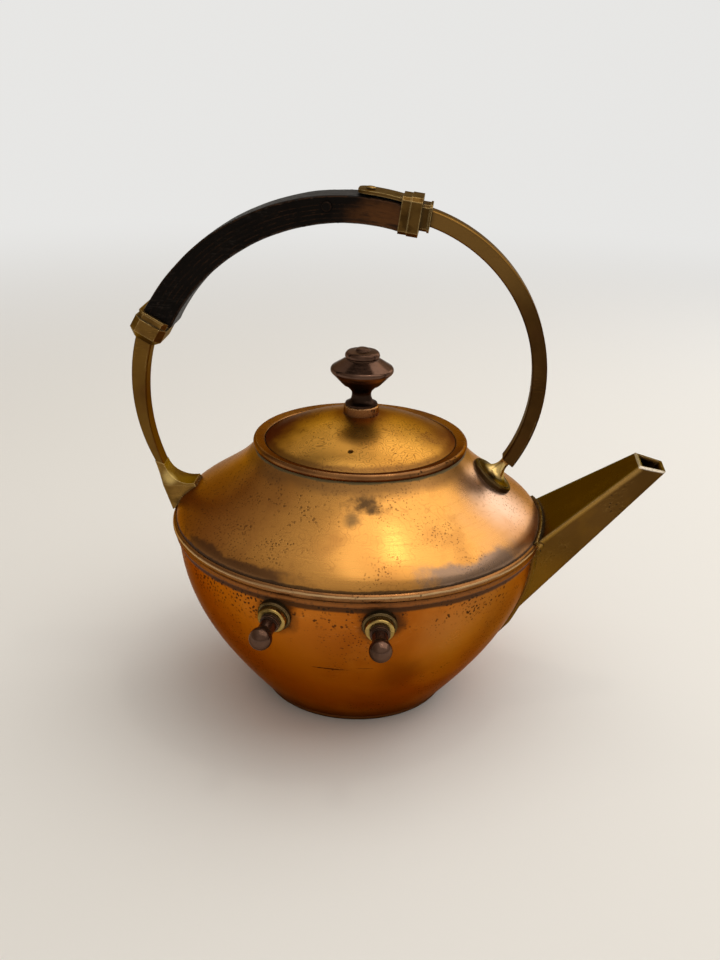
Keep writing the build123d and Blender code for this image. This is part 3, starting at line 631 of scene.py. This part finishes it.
bowlCopper = layeredMaterial("bowlCopper", {
    "colour": (0.50, 0.145, 0.014), "rough": 0.28, "metal": 1.0, "edge": 0.0004,
    "edgeTint": (0.62, 0.38, 0.20)}, [
    {"mask": ("blotches", {"Scale": 13.0, "Low": 0.40, "High": 0.68, "Amount": 0.80}),
     "colour": (0.29, 0.070, 0.006), "rough": 0.36, "height": 0.10},
    {"mask": ("blotches", {"Scale": 34.0, "Detail": 4.0, "Low": 0.5, "High": 0.75, "Amount": 0.5,
                           "Shift": (0.3, 0.1, 0.0)}),
     "colour": (0.62, 0.225, 0.030), "rough": 0.24},
    # painted sheen: a greyish reflection on the right front of the bowl
    {"mask": ("mark", {"Centre": (0.070, -0.050, 0.062), "Radius": 0.05, "Soft": 0.9,
                       "Break": 0.5, "Break Scale": 30.0, "Amount": 0.55}),
     "colour": (0.24, 0.135, 0.055), "rough": 0.34},
    # painted highlight: a bright upright streak on the front of the bowl
    {"mask": ("mark", {"Centre": (0.049, -0.066, 0.060), "Stretch": (1.0, 1.0, 0.7),
                       "Radius": 0.027, "Soft": 0.9, "Break": 0.4, "Break Scale": 45.0,
                       "Amount": 0.55}),
     "colour": (0.52, 0.212, 0.048), "rough": 0.24},
    # painted reflection: a dark upright band beside the bright streak
    {"mask": ("mark", {"Centre": (0.026, -0.070, 0.044), "Stretch": (1.0, 1.0, 0.5),
                       "Radius": 0.015, "Soft": 0.9, "Break": 0.4, "Break Scale": 60.0,
                       "Amount": 0.60}), "colour": (0.17, 0.046, 0.007), "rough": 0.34},
    # painted shade on the left side of the bowl
    {"mask": ("mark", {"Centre": (-0.072, -0.036, 0.060), "Radius": 0.044, "Soft": 0.9,
                       "Break": 0.4, "Break Scale": 35.0, "Amount": 0.70}),
     "colour": (0.17, 0.048, 0.009), "rough": 0.34},
    {"mask": ("turningMarks", {"Around": 2.5, "Fine": 900.0, "Low": 0.45, "High": 0.8,
                               "Amount": 0.6}), "rough": 0.42, "height": 0.006},
    {"mask": ("scratches", {"Scale": 40.0, "Turn": (0.3, 0.2, 0.9), "Thin": 0.012, "Cover": 0.5,
                            "Amount": 0.5}), "colour": (0.62, 0.28, 0.08), "height": -0.01},
    {"mask": ("pits", {"Scale": 620.0, "Size": 0.55, "Cover Scale": 26.0, "Cover": 0.50,
                       "Amount": 0.65}),
     "colour": warmDark, "rough": 0.6, "height": -0.04},
    {"mask": ("pits", {"Scale": 540.0, "Size": 0.70, "Cover Scale": 70.0, "Cover": 0.42,
                       "Amount": 0.85}),
     "within": ("heightBand", {"From": 0.076, "To": 0.084, "Soft": 0.008, "Break": 0.012}),
     "colour": warmDark, "rough": 0.6, "height": -0.04},
    {"mask": ("heightBand", {"From": 0.0818, "To": 0.0842, "Soft": 0.0012, "Break": 0.0020,
                             "Amount": 0.85}), "colour": warmDark, "rough": 0.6, "metal": 0.5},
    {"mask": ("heightBand", {"From": 0.0848, "To": 0.090, "Soft": 0.0006, "Break": 0.001,
                             "Amount": 0.75}), "colour": (0.20, 0.080, 0.028), "rough": 0.3},
    {"mask": ("mark", {"Centre": (-0.0041, -0.0774, 0.0477), "Stretch": (0.05, 0.2, 1.0),
                       "Radius": 0.00050, "Soft": 0.5, "Break": 0.5, "Break Scale": 500.0,
                       "Amount": 0.95}), "colour": (0.012, 0.006, 0.004), "rough": 0.7,
     "height": -0.08},
    {"mask": ("mark", {"Centre": (0.0108, -0.0775, 0.0490), "Stretch": (0.06, 0.2, 1.0),
                       "Radius": 0.0003, "Soft": 0.6, "Break": 0.9, "Break Scale": 700.0,
                       "Amount": 0.7}), "colour": (0.05, 0.02, 0.01), "rough": 0.6},
    # painted shade at the bottom of the bowl and its ring, where the kettle stands
    {"mask": ("heightBand", {"From": -0.01, "To": 0.003, "Soft": 0.012, "Break": 0.008,
                             "Amount": 0.75}), "colour": (0.09, 0.032, 0.011), "rough": 0.5},
    pegDirtAndDarkReflection((-0.0270, -0.0800, 0.0760)),
    pegDirtAndDarkReflection((0.0185, -0.0824, 0.0760)),
    cornerShadeLayer((0.035, 0.022, 0.010), 0.30, 0.72, 0.85),
])

shoulderCopper = layeredMaterial("shoulderCopper", {
    "colour": (0.62, 0.290, 0.066), "rough": 0.25, "metal": 1.0, "edge": 0.0004,
    "edgeTint": (0.60, 0.42, 0.27)}, [
    {"mask": ("blotches", {"Scale": 11.0, "Low": 0.42, "High": 0.68, "Amount": 0.75,
                           "Shift": (0.05, 0.0, 0.0)}),
     "colour": (0.40, 0.168, 0.035), "rough": 0.33, "height": 0.12},
    # painted shade on the left side of the shoulder
    {"mask": ("mark", {"Centre": (-0.078, -0.040, 0.100), "Radius": 0.066, "Soft": 0.8,
                       "Break": 0.35, "Break Scale": 25.0, "Amount": 0.90}),
     "colour": (0.33, 0.115, 0.027), "rough": 0.34},
    # painted sheen: a paler, pinkish reflection on the right of the shoulder
    {"mask": ("mark", {"Centre": (0.084, -0.020, 0.100), "Radius": 0.055, "Soft": 0.8,
                       "Break": 0.3, "Break Scale": 30.0, "Amount": 0.80}),
     "colour": (0.49, 0.262, 0.150), "rough": 0.30},
    # painted highlight on the shoulder near the front foot
    {"mask": ("mark", {"Centre": (0.066, -0.014, 0.112), "Radius": 0.030, "Soft": 0.9,
                       "Break": 0.3, "Break Scale": 40.0, "Amount": 0.70}),
     "colour": (0.74, 0.53, 0.41), "rough": 0.30},
    {"mask": ("blotches", {"Scale": 45.0, "Detail": 5.0, "Low": 0.48, "High": 0.70,
                           "Amount": 0.55}), "colour": (0.40, 0.170, 0.042), "rough": 0.36},
    {"mask": ("turningMarks", {"Around": 3.0, "Fine": 1300.0, "Low": 0.5, "High": 0.8,
                               "Amount": 0.7}), "rough": 0.40, "height": 0.006},
    {"mask": ("etching", {"Scale": 70.0, "Lines": 16.0, "Thin": 0.12, "Cover": 0.44,
                          "Amount": 0.40}), "colour": (0.27, 0.11, 0.030), "height": -0.01},
    {"mask": ("pits", {"Scale": 760.0, "Size": 0.60, "Cover Scale": 24.0, "Cover": 0.44,
                       "Amount": 0.60}),
     "colour": (0.085, 0.036, 0.012), "rough": 0.55, "height": -0.025},
    {"mask": ("pits", {"Scale": 640.0, "Size": 0.78, "Cover Scale": 95.0, "Cover": 0.49,
                       "Amount": 0.70}),
     "within": ("mark", {"Centre": (-0.028, -0.058, 0.112), "Radius": 0.036, "Soft": 0.6}),
     "colour": (0.050, 0.022, 0.009), "rough": 0.6, "height": -0.05},
    {"mask": ("mark", {"Centre": (0.0077, -0.0558, 0.1179), "Stretch": (0.55, 1.0, 1.0),
                       "Radius": 0.0070, "Soft": 0.8, "Break": 0.8, "Break Scale": 180.0,
                       "Amount": 0.9}), "colour": (0.060, 0.036, 0.020), "rough": 0.5},
    {"mask": ("mark", {"Centre": (0.0027, -0.0620, 0.1131), "Radius": 0.0055, "Soft": 0.9,
                       "Break": 0.5, "Break Scale": 200.0, "Amount": 0.75}),
     "colour": (0.12, 0.075, 0.034), "rough": 0.42},
    # painted reflection: a greyish sheen low on the right front of the shoulder
    {"mask": ("heightBand", {"From": 0.080, "To": 0.0965, "Soft": 0.0025, "Break": 0.010,
                             "Break Scale": 42.0, "Amount": 0.80}),
     "within": ("mark", {"Centre": (0.058, -0.062, 0.093), "Radius": 0.036, "Soft": 0.5}),
     "colour": (0.17, 0.125, 0.105), "rough": 0.24},
    {"mask": ("heightBand", {"From": 0.080, "To": 0.0950, "Soft": 0.0015, "Break": 0.008,
                             "Break Scale": 55.0, "Amount": 0.85}),
     "within": ("mark", {"Centre": (-0.052, -0.070, 0.093), "Radius": 0.045, "Soft": 0.5}),
     "colour": (0.13, 0.062, 0.030), "rough": 0.34},
    {"mask": ("heightBand", {"From": 0.080, "To": 0.0916, "Soft": 0.0008, "Break": 0.0026,
                             "Break Scale": 90.0, "Amount": 0.85}),
     "colour": warmDark, "rough": 0.5, "metal": 0.5},
    {"mask": ("heightBand", {"From": 0.1228, "To": 0.130, "Soft": 0.0045, "Break": 0.009,
                             "Break Scale": 48.0, "Amount": 0.60}),
     "colour": (0.20, 0.100, 0.038), "rough": 0.40},
    {"mask": ("heightBand", {"From": 0.1253, "To": 0.130, "Soft": 0.0006, "Break": 0.0022,
                             "Amount": 0.8}), "colour": oldGreen, "rough": 0.7, "metal": 0.2},
    cornerShadeLayer((0.045, 0.034, 0.018), 0.30, 0.70, 0.85),
])

lidCopper = layeredMaterial("lidCopper", {
    "colour": (0.75, 0.375, 0.072), "rough": 0.27, "metal": 1.0, "edge": 0.0004,
    "edgeTint": (0.36, 0.26, 0.17)}, [
    {"mask": ("blotches", {"Scale": 16.0, "Low": 0.40, "High": 0.68, "Amount": 0.75,
                           "Shift": (0.2, 0.4, 0.0)}),
     "colour": (0.45, 0.190, 0.032), "rough": 0.34, "height": 0.06},
    {"mask": ("etching", {"Scale": 95.0, "Lines": 20.0, "Thin": 0.18, "Cover": 0.36,
                          "Amount": 0.60}), "colour": (0.23, 0.095, 0.022), "rough": 0.42,
     "height": -0.012},
    {"mask": ("turningMarks", {"Around": 3.0, "Fine": 1400.0, "Low": 0.5, "High": 0.8,
                               "Amount": 0.5}), "rough": 0.42, "height": 0.004},
    {"mask": ("pits", {"Scale": 600.0, "Size": 0.54, "Cover Scale": 40.0, "Cover": 0.50,
                       "Amount": 0.65}), "colour": (0.075, 0.034, 0.012), "rough": 0.55,
     "height": -0.03},
    # painted dark reflection on the left of the lid
    {"mask": ("mark", {"Centre": (-0.047, 0.004, 0.135), "Stretch": (1.0, 0.7, 1.0),
                       "Radius": 0.034, "Soft": 0.75, "Break": 0.35, "Break Scale": 60.0,
                       "Amount": 0.88}), "colour": (0.062, 0.025, 0.020), "rough": 0.38},
    # painted dark reflection on the right of the lid
    {"mask": ("mark", {"Centre": (0.050, 0.006, 0.135), "Stretch": (1.0, 0.7, 1.0),
                       "Radius": 0.032, "Soft": 0.8, "Break": 0.35, "Break Scale": 60.0,
                       "Amount": 0.80}), "colour": (0.17, 0.074, 0.046), "rough": 0.36},
    # painted dark reflection on the back of the lid
    {"mask": ("mark", {"Centre": (0.0, 0.034, 0.138), "Stretch": (0.6, 1.0, 1.0),
                       "Radius": 0.034, "Soft": 0.8, "Break": 0.35, "Break Scale": 60.0,
                       "Amount": 0.80}), "colour": (0.085, 0.034, 0.014), "rough": 0.38},
    {"mask": ("outBand", {"From": 0.0436, "To": 0.060, "Soft": 0.0030, "Break": 0.004,
                          "Break Scale": 90.0, "Amount": 0.75}),
     "colour": (0.14, 0.060, 0.022), "rough": 0.4},
    {"mask": ("outBand", {"From": -0.01, "To": 0.0095, "Soft": 0.008, "Break": 0.005,
                          "Break Scale": 90.0, "Amount": 0.68}),
     "colour": (0.180, 0.071, 0.022), "rough": 0.38},
    cornerShadeLayer((0.040, 0.022, 0.012), 0.30, 0.70, 0.8),
])

beadCopper = layeredMaterial("beadCopper", {
    "colour": (0.27, 0.118, 0.040), "rough": 0.24, "metal": 1.0, "edge": 0.0003,
    "edgeTint": (0.48, 0.34, 0.22)}, [
    {"mask": ("blotches", {"Scale": 40.0, "Detail": 4.0, "Low": 0.42, "High": 0.68,
                           "Amount": 0.8, "Shift": (0.1, 0.7, 0.0)}),
     "colour": (0.115, 0.048, 0.018), "rough": 0.38},
    # brighter crest line: worn metal, and partly a painted highlight along the top of the bead
    {"mask": ("heightBand", {"From": 0.0895, "To": 0.0899, "Soft": 0.0003, "Break": 0.0007,
                             "Break Scale": 90.0, "Amount": 0.80}),
     "colour": (0.70, 0.45, 0.22), "rough": 0.18},
    # painted shade on the lower half of the bead
    {"mask": ("heightBand", {"From": 0.0860, "To": 0.0876, "Soft": 0.0004, "Break": 0.0012,
                             "Break Scale": 70.0, "Amount": 0.70}),
     "colour": (0.080, 0.036, 0.014), "rough": 0.36},
    {"mask": ("turningMarks", {"Around": 40.0, "Fine": 500.0, "Low": 0.5, "High": 0.75,
                               "Amount": 0.5}), "rough": 0.42, "height": 0.01},
    wornEdge(0.01, 0.08, 0.5, 0.6, (0.56, 0.34, 0.17), 0.25),
    {"mask": ("pits", {"Scale": 500.0, "Size": 0.6, "Cover Scale": 60.0, "Cover": 0.5,
                       "Amount": 0.8}), "colour": warmDark, "rough": 0.6, "height": -0.03},
    cornerShadeLayer((0.030, 0.020, 0.012)),
])


def brassMaterial(name, colour, dark, bright, wear, rough=0.33, extraLayers=()):
    return layeredMaterial(name, {"colour": colour, "rough": rough, "metal": 1.0,
                                  "edge": 0.0003, "edgeTint": (0.52, 0.43, 0.26)}, [
        {"mask": ("blotches", {"Scale": 60.0, "Detail": 4.0, "Low": 0.42, "High": 0.66,
                               "Amount": 0.8}), "colour": dark, "rough": 0.42, "height": 0.03},
        {"mask": ("blotches", {"Scale": 190.0, "Detail": 4.0, "Low": 0.5, "High": 0.7,
                               "Amount": 0.6, "Shift": (0.4, 0.2, 0.1)}),
         "colour": tuple(0.7 * c for c in dark), "rough": 0.5, "height": -0.02},
        {"mask": ("scratches", {"Scale": 90.0, "Turn": (0.4, 1.1, 0.3), "Thin": 0.02,
                                "Cover": 0.45, "Amount": 0.5}),
         "colour": tuple(1.4 * c for c in colour), "height": -0.01},
        wornEdge(0.01, 0.07, 0.45, wear, bright, 0.22),
        cornerShadeLayer((0.026, 0.018, 0.009)),
        *extraLayers,
    ])


fittingBrass = brassMaterial("fittingBrass", (0.24, 0.130, 0.030), (0.11, 0.054, 0.012),
                             wornBrass, 0.60)
ferruleBrass = brassMaterial("ferruleBrass", (0.105, 0.054, 0.013), (0.046, 0.022, 0.005),
                             wornBrass, 0.55)
pegBrass = brassMaterial("pegBrass", (0.44, 0.295, 0.090), (0.13, 0.075, 0.020),
                         wornBrass, 0.85, 0.20)
rearFootBrass = brassMaterial("rearFootBrass", (0.24, 0.130, 0.030), (0.12, 0.058, 0.012),
                              wornBrass, 0.70, 0.26, [
    # painted highlight in the hollow of the rear foot
    {"mask": ("mark", {"Centre": (-0.0925, -0.0060, 0.1045), "Radius": 0.0050, "Soft": 0.85,
                       "Break": 0.3, "Break Scale": 200.0, "Amount": 0.80}),
     "colour": (0.90, 0.64, 0.22), "rough": 0.18},
])
frontFootBrass = brassMaterial("frontFootBrass", (0.085, 0.050, 0.018), (0.040, 0.024, 0.009),
                               (0.50, 0.34, 0.15), 0.60, 0.26, [
    {"mask": ("mark", {"Centre": (0.0668, 0.0, 0.1172), "Radius": 0.0074, "Soft": 0.35,
                       "Break": 0.15, "Break Scale": 200.0, "Amount": 0.92}),
     "colour": (0.66, 0.45, 0.165), "rough": 0.22},
])
darkBrass = brassMaterial("darkBrass", (0.105, 0.066, 0.026), (0.050, 0.030, 0.012),
                          (0.42, 0.29, 0.13), 0.5, 0.36)


def armMaterial(name, colour, dark, patch, extraLayers=()):
    return layeredMaterial(name, {"colour": colour, "rough": 0.31, "metal": 1.0,
                                  "edge": 0.0006, "edgeTint": (0.46, 0.37, 0.20)}, [
        {"mask": ("blotches", {"Scale": 26.0, "Detail": 4.0, "Low": 0.40, "High": 0.66,
                               "Amount": 0.85}), "colour": dark, "rough": 0.40, "height": 0.04},
        {"mask": ("blotches", {"Scale": 75.0, "Detail": 4.0, "Low": 0.52, "High": 0.72,
                               "Amount": 0.6, "Shift": (0.2, 0.5, 0.3)}),
         "colour": patch, "rough": 0.38},
        *extraLayers,
        {"mask": ("scratches", {"Scale": 60.0, "Turn": (0.2, 0.6, 0.2), "Thin": 0.02,
                                "Cover": 0.50, "Amount": 0.4}),
         "colour": tuple(1.8 * c for c in colour), "height": -0.01},
        wornEdge(0.01, 0.10, 0.6, 0.75, (0.66, 0.46, 0.20), 0.24),
        cornerShadeLayer((0.026, 0.016, 0.008), amount=0.8, rough=0.6, metal=0.4),
    ])


rearArmBrass = armMaterial("rearArmBrass", (0.150, 0.075, 0.014), (0.072, 0.032, 0.006),
                           (0.130, 0.054, 0.012))
frontArmBrass = armMaterial("frontArmBrass", (0.066, 0.030, 0.007), (0.026, 0.011, 0.003),
                            (0.058, 0.023, 0.007), [
    # painted light: the upper part of the front arm made lighter
    {"mask": ("heightBand", {"From": 0.218, "To": 0.260, "Soft": 0.030, "Break": 0.012,
                             "Break Scale": 45.0, "Amount": 0.80}),
     "colour": (0.190, 0.098, 0.024), "rough": 0.30},
])

spoutBrass = layeredMaterial("spoutBrass", {
    "colour": (0.112, 0.054, 0.013), "rough": 0.25, "metal": 1.0, "edge": 0.0026,
    "edgeTint": (0.56, 0.47, 0.26)}, [
    {"mask": ("blotches", {"Scale": 15.0, "Low": 0.40, "High": 0.68, "Amount": 0.75,
                           "Shift": (0.0, 0.3, 0.2)}),
     "colour": (0.066, 0.031, 0.006), "rough": 0.34, "height": 0.06},
    {"mask": ("blotches", {"Scale": 70.0, "Detail": 5.0, "Low": 0.50, "High": 0.72,
                           "Amount": 0.5}), "colour": (0.150, 0.072, 0.012), "rough": 0.26},
    {"mask": ("scratches", {"Scale": 50.0, "Turn": (0.0, 0.7, 0.1), "Thin": 0.018,
                            "Cover": 0.50, "Amount": 0.4}),
     "colour": (0.27, 0.155, 0.045), "height": -0.01},
    {"mask": ("pits", {"Scale": 520.0, "Size": 0.5, "Cover Scale": 45.0, "Cover": 0.55,
                       "Amount": 0.7}), "colour": warmDark, "rough": 0.6, "height": -0.03},
    # painted reflection of the table on the lower root of the spout
    {"mask": ("mark", {"Centre": (0.084, -0.020, 0.056), "Radius": 0.034, "Soft": 0.6,
                       "Break": 0.2, "Break Scale": 30.0, "Amount": 0.70}),
     "colour": (0.190, 0.088, 0.013), "rough": 0.26},
    # painted highlight along the ridge of the spout, on its side face
    {"mask": ("streak", {"Start": (0.1305, -0.0093, 0.1240), "End": (0.0860, -0.0256, 0.0888),
                         "Radius": 0.0024, "Soft": 0.95, "Break": 0.15, "Break Scale": 60.0,
                         "Amount": 0.85}), "colour": (0.40, 0.225, 0.060), "rough": 0.22},
    wornEdge(0.01, 0.12, 0.62, 0.55, (0.60, 0.42, 0.17), 0.22),
    # painted highlight along the near edge of the mouth's rim
    {"mask": ("streak", {"Start": (0.1310, -0.0090, 0.1253), "End": (0.1433, -0.0070, 0.1225),
                         "Radius": 0.0012, "Soft": 0.4, "Amount": 0.85}),
     "colour": (0.80, 0.71, 0.58), "rough": 0.20},
    # painted highlight along the mouth's rim, across the spout
    {"mask": ("streak", {"Start": (0.1310, -0.0090, 0.1253), "End": (0.1310, 0.0090, 0.1253),
                         "Radius": 0.0010, "Soft": 0.4, "Amount": 0.70}),
     "colour": (0.70, 0.58, 0.42), "rough": 0.22},
    cornerShadeLayer((0.024, 0.015, 0.007)),
])

darkBronze = layeredMaterial("darkBronze", {
    "colour": (0.116, 0.062, 0.041), "rough": 0.15, "metal": 0.9, "edge": 0.0004,
    "edgeTint": (0.52, 0.45, 0.40)}, [
    {"mask": ("blotches", {"Scale": 70.0, "Detail": 4.0, "Low": 0.42, "High": 0.66,
                           "Amount": 0.8}), "colour": (0.044, 0.022, 0.013), "rough": 0.26},
    {"mask": ("blotches", {"Scale": 160.0, "Detail": 4.0, "Low": 0.55, "High": 0.75,
                           "Amount": 0.5, "Shift": (0.6, 0.2, 0.3)}),
     "colour": (0.15, 0.075, 0.042), "rough": 0.24},
    {"mask": ("turningMarks", {"Around": 3.0, "Fine": 1800.0, "Low": 0.5, "High": 0.75,
                               "Amount": 0.5}), "rough": 0.34, "height": 0.005},
    wornEdge(0.02, 0.14, 0.6, 0.5, (0.26, 0.140, 0.080), 0.22),
    # painted shade on the knob's neck, under its round body
    {"mask": ("heightBand", {"From": 0.1464, "To": 0.1583, "Soft": 0.0014, "Break": 0.002,
                             "Amount": 0.88}), "colour": (0.014, 0.007, 0.004), "rough": 0.35},
    cornerShadeLayer((0.012, 0.008, 0.006), rough=0.6, metal=0.2),
])

grainCentre = (-0.008, 0.0, 0.140)        # the bow of the handle turns round it
wornEnd = {"Centre": (0.0100, -0.011, 0.234), "Stretch": (0.48, 1.0, 1.0)}

gripWood = layeredMaterial("gripWood", {
    "colour": (0.0030, 0.0019, 0.0012), "rough": 0.40, "metal": 0.0, "edge": 0.0005,
    "shine": 0.05}, [
    {"mask": ("woodGrain", {"Centre": grainCentre, "Along": 260.0, "Across": 700.0,
                            "Low": 0.35, "High": 0.7, "Amount": 0.7}),
     "colour": (0.0050, 0.0033, 0.0022), "rough": 0.50, "height": -0.03},
    {"mask": ("blotches", {"Scale": 40.0, "Detail": 4.0, "Low": 0.45, "High": 0.7,
                           "Amount": 0.6}), "colour": (0.0062, 0.0040, 0.0028), "rough": 0.36},
    {"mask": ("mark", {**wornEnd, "Radius": 0.0115, "Soft": 0.7, "Break": 0.45,
                       "Break Scale": 90.0, "Amount": 0.95}),
     "colour": (0.090, 0.034, 0.010), "rough": 0.42},
    {"mask": ("woodGrain", {"Centre": grainCentre, "Along": 60.0, "Across": 330.0,
                            "Low": 0.50, "High": 0.62, "Amount": 0.85}),
     "within": ("mark", {**wornEnd, "Radius": 0.0125, "Soft": 0.5}),
     "colour": (0.018, 0.009, 0.005)},
    # worn edges, and partly a painted sheen along the bevels of the wood
    wornEdge(0.015, 0.12, 0.62, 0.75, (0.085, 0.036, 0.015), 0.40),
    {"mask": ("woodGrain", {"Centre": grainCentre, "Along": 120.0, "Across": 900.0,
                            "Low": 0.55, "High": 0.75, "Amount": 0.5}),
     "colour": (0.004, 0.003, 0.0025), "height": -0.03},
    {"mask": ("scratches", {"Scale": 70.0, "Turn": (0.1, 0.9, 0.4), "Thin": 0.02, "Cover": 0.5,
                            "Amount": 0.4}), "colour": (0.040, 0.030, 0.024), "height": -0.015},
    # painted shade in the wood's corners and where it meets the brass
    {"mask": ("cornerGrime", {"Low": 0.35, "High": 0.80, "Break": 0.4, "Amount": 0.8}),
     "colour": (0.004, 0.003, 0.0025), "rough": 0.7},
])

give(bowlCopper, "bowl", "base_ring")
give(shoulderCopper, "shoulder")
give(lidCopper, "lid_dome", "lid_sleeve")
give(beadCopper, "seam_bead", "mouth_ring", "knob_collar")
give(fittingBrass, "rear_ferrule", "ferrule_rivet", "peg_nuts", "foot_nuts", "foot_studs",
     "knob_nut", "knob_stud")
give(ferruleBrass, "front_ferrule", "front_collar")
give(rearFootBrass, "rear_foot")
give(frontFootBrass, "front_foot")
give(pegBrass, "peg_collars")
give(darkBrass, "peg_flanges")
give(rearArmBrass, "rear_arm")
give(frontArmBrass, "front_arm")
give(spoutBrass, "spout_shell", "spout_collar")
give(darkBronze, "knob", "peg_pins")
give(gripWood, "gripWood", "gripPlug")
print("finishes given")


# floor, room and lamps

roomSetup = {
    "floorSize": 14.0,
    "floorColour": (0.80, 0.79, 0.77),
    "floorRough": 0.8,
    "floorShine": 0.1,
    "farColour": (0.80, 0.795, 0.78),        # of the floor far off and of the skyline
    "floorFade": (0.35, 1.4),        # metres out, where one passes into the other
    "roomLow": (0.40, 0.36, 0.31),
    "roomTop": (0.70, 0.67, 0.62),
    "roomLeft": (0.30, 0.25, 0.20),
    "skyline": (0.02, 0.07),        # heights, as shares, where the skyline fades out
    "rise": (0.06, 0.45),        # where the low colour passes into the high ones
    "turnLeft": (0.15, 0.85),        # how far left the darker side starts and is full
}


def farAway(tree, v):        # 0 near the kettle, 1 far off
    away = vectorMath(tree, "LENGTH", objectPlace(tree), result="Value")
    return ramp(tree, away, *v["floorFade"])


def seenRays(tree):        # 1 for what the camera, a gloss or glass looks at
    path = addNode(tree, "ShaderNodeLightPath", (-1000, -300))
    rays = math2(tree, "ADD", path.outputs["Is Camera Ray"], path.outputs["Is Glossy Ray"])
    return math2(tree, "ADD", rays, path.outputs["Is Transmission Ray"], clamp=True)


def makeFloor(v):
    clearSelection()
    bpy.ops.mesh.primitive_plane_add(size=v["floorSize"], location=(0, 0, 0))
    floor = nameIt("floor")
    paint = bpy.data.materials.new("floorPaint")
    paint.use_nodes = True
    tree = paint.node_tree
    shader = tree.nodes["Principled BSDF"]
    shader.inputs["Base Color"].default_value = solid(v["floorColour"])
    shader.inputs["Roughness"].default_value = v["floorRough"]
    shader.inputs["Specular IOR Level"].default_value = v["floorShine"]
    glow = addNode(tree, "ShaderNodeEmission", (0, -300), inputs={"Color": solid(v["farColour"])})
    blend = addNode(tree, "ShaderNodeMixShader", (300, 0))
    share = math2(tree, "MULTIPLY", farAway(tree, v), seenRays(tree))
    join(tree, share, blend.inputs[0])
    join(tree, shader.outputs[0], blend.inputs[1])
    join(tree, glow.outputs[0], blend.inputs[2])
    join(tree, blend.outputs[0], tree.nodes["Material Output"].inputs["Surface"])
    floor.data.materials.append(paint)


def makeRoom(v):        # pale above, darker low down and to the left, with a pale skyline
    world = bpy.data.worlds.new("studio")
    bpy.context.scene.world = world
    world.use_nodes = True
    tree = world.node_tree
    around = addNode(tree, "ShaderNodeTexCoord", (-1100, 0)).outputs["Generated"]
    x, _, z = splitPlace(tree, around)
    left = ramp(tree, math2(tree, "MULTIPLY", x, -1.0), *v["turnLeft"])
    top = mixColour(tree, left, solid(v["roomTop"]), solid(v["roomLeft"]), (-300, -100))
    low = mixColour(tree, ramp(tree, z, *v["skyline"]), solid(v["farColour"]),
                    solid(v["roomLow"]), (-300, 200))
    room = mixColour(tree, ramp(tree, z, *v["rise"]), low, top, (-100, 0))
    join(tree, room, tree.nodes["Background"].inputs["Color"])


lampSetup = [
    {"name": "topSoftbox", "place": (0.34, 0.10, 0.92), "aim": (0.0, 0.0, 0.08), "size": 1.20,
     "watts": 5.4, "colour": (1.0, 0.96, 0.90)},
    {"name": "sparkle", "place": (0.20, -0.02, 0.90), "aim": (0.0, 0.0, 0.10), "size": 0.05,
     "watts": 0.22, "colour": (1.0, 0.93, 0.80)},
    {"name": "backWindow", "place": (0.66, 0.78, 0.42), "aim": (0.0, 0.0, 0.10), "size": 0.45,
     "watts": 1.1, "colour": (0.93, 0.96, 1.0)},
]


def makeLamps(lamps):
    for v in lamps:
        clearSelection()
        bpy.ops.object.light_add(type="AREA", location=v["place"])
        lamp = bpy.context.object
        lamp.name = v["name"]
        lamp.data.shape = "SQUARE"
        lamp.data.size = v["size"]
        lamp.data.energy = v["watts"]
        lamp.data.color = v["colour"]
        away = Vector(v["place"]) - Vector(v["aim"])
        lamp.rotation_euler = away.to_track_quat("Z", "Y").to_euler()


makeFloor(roomSetup)
makeRoom(roomSetup)
makeLamps(lampSetup)
bpy.context.scene.view_settings.view_transform = "Standard"
print("floor, room and lamps made")
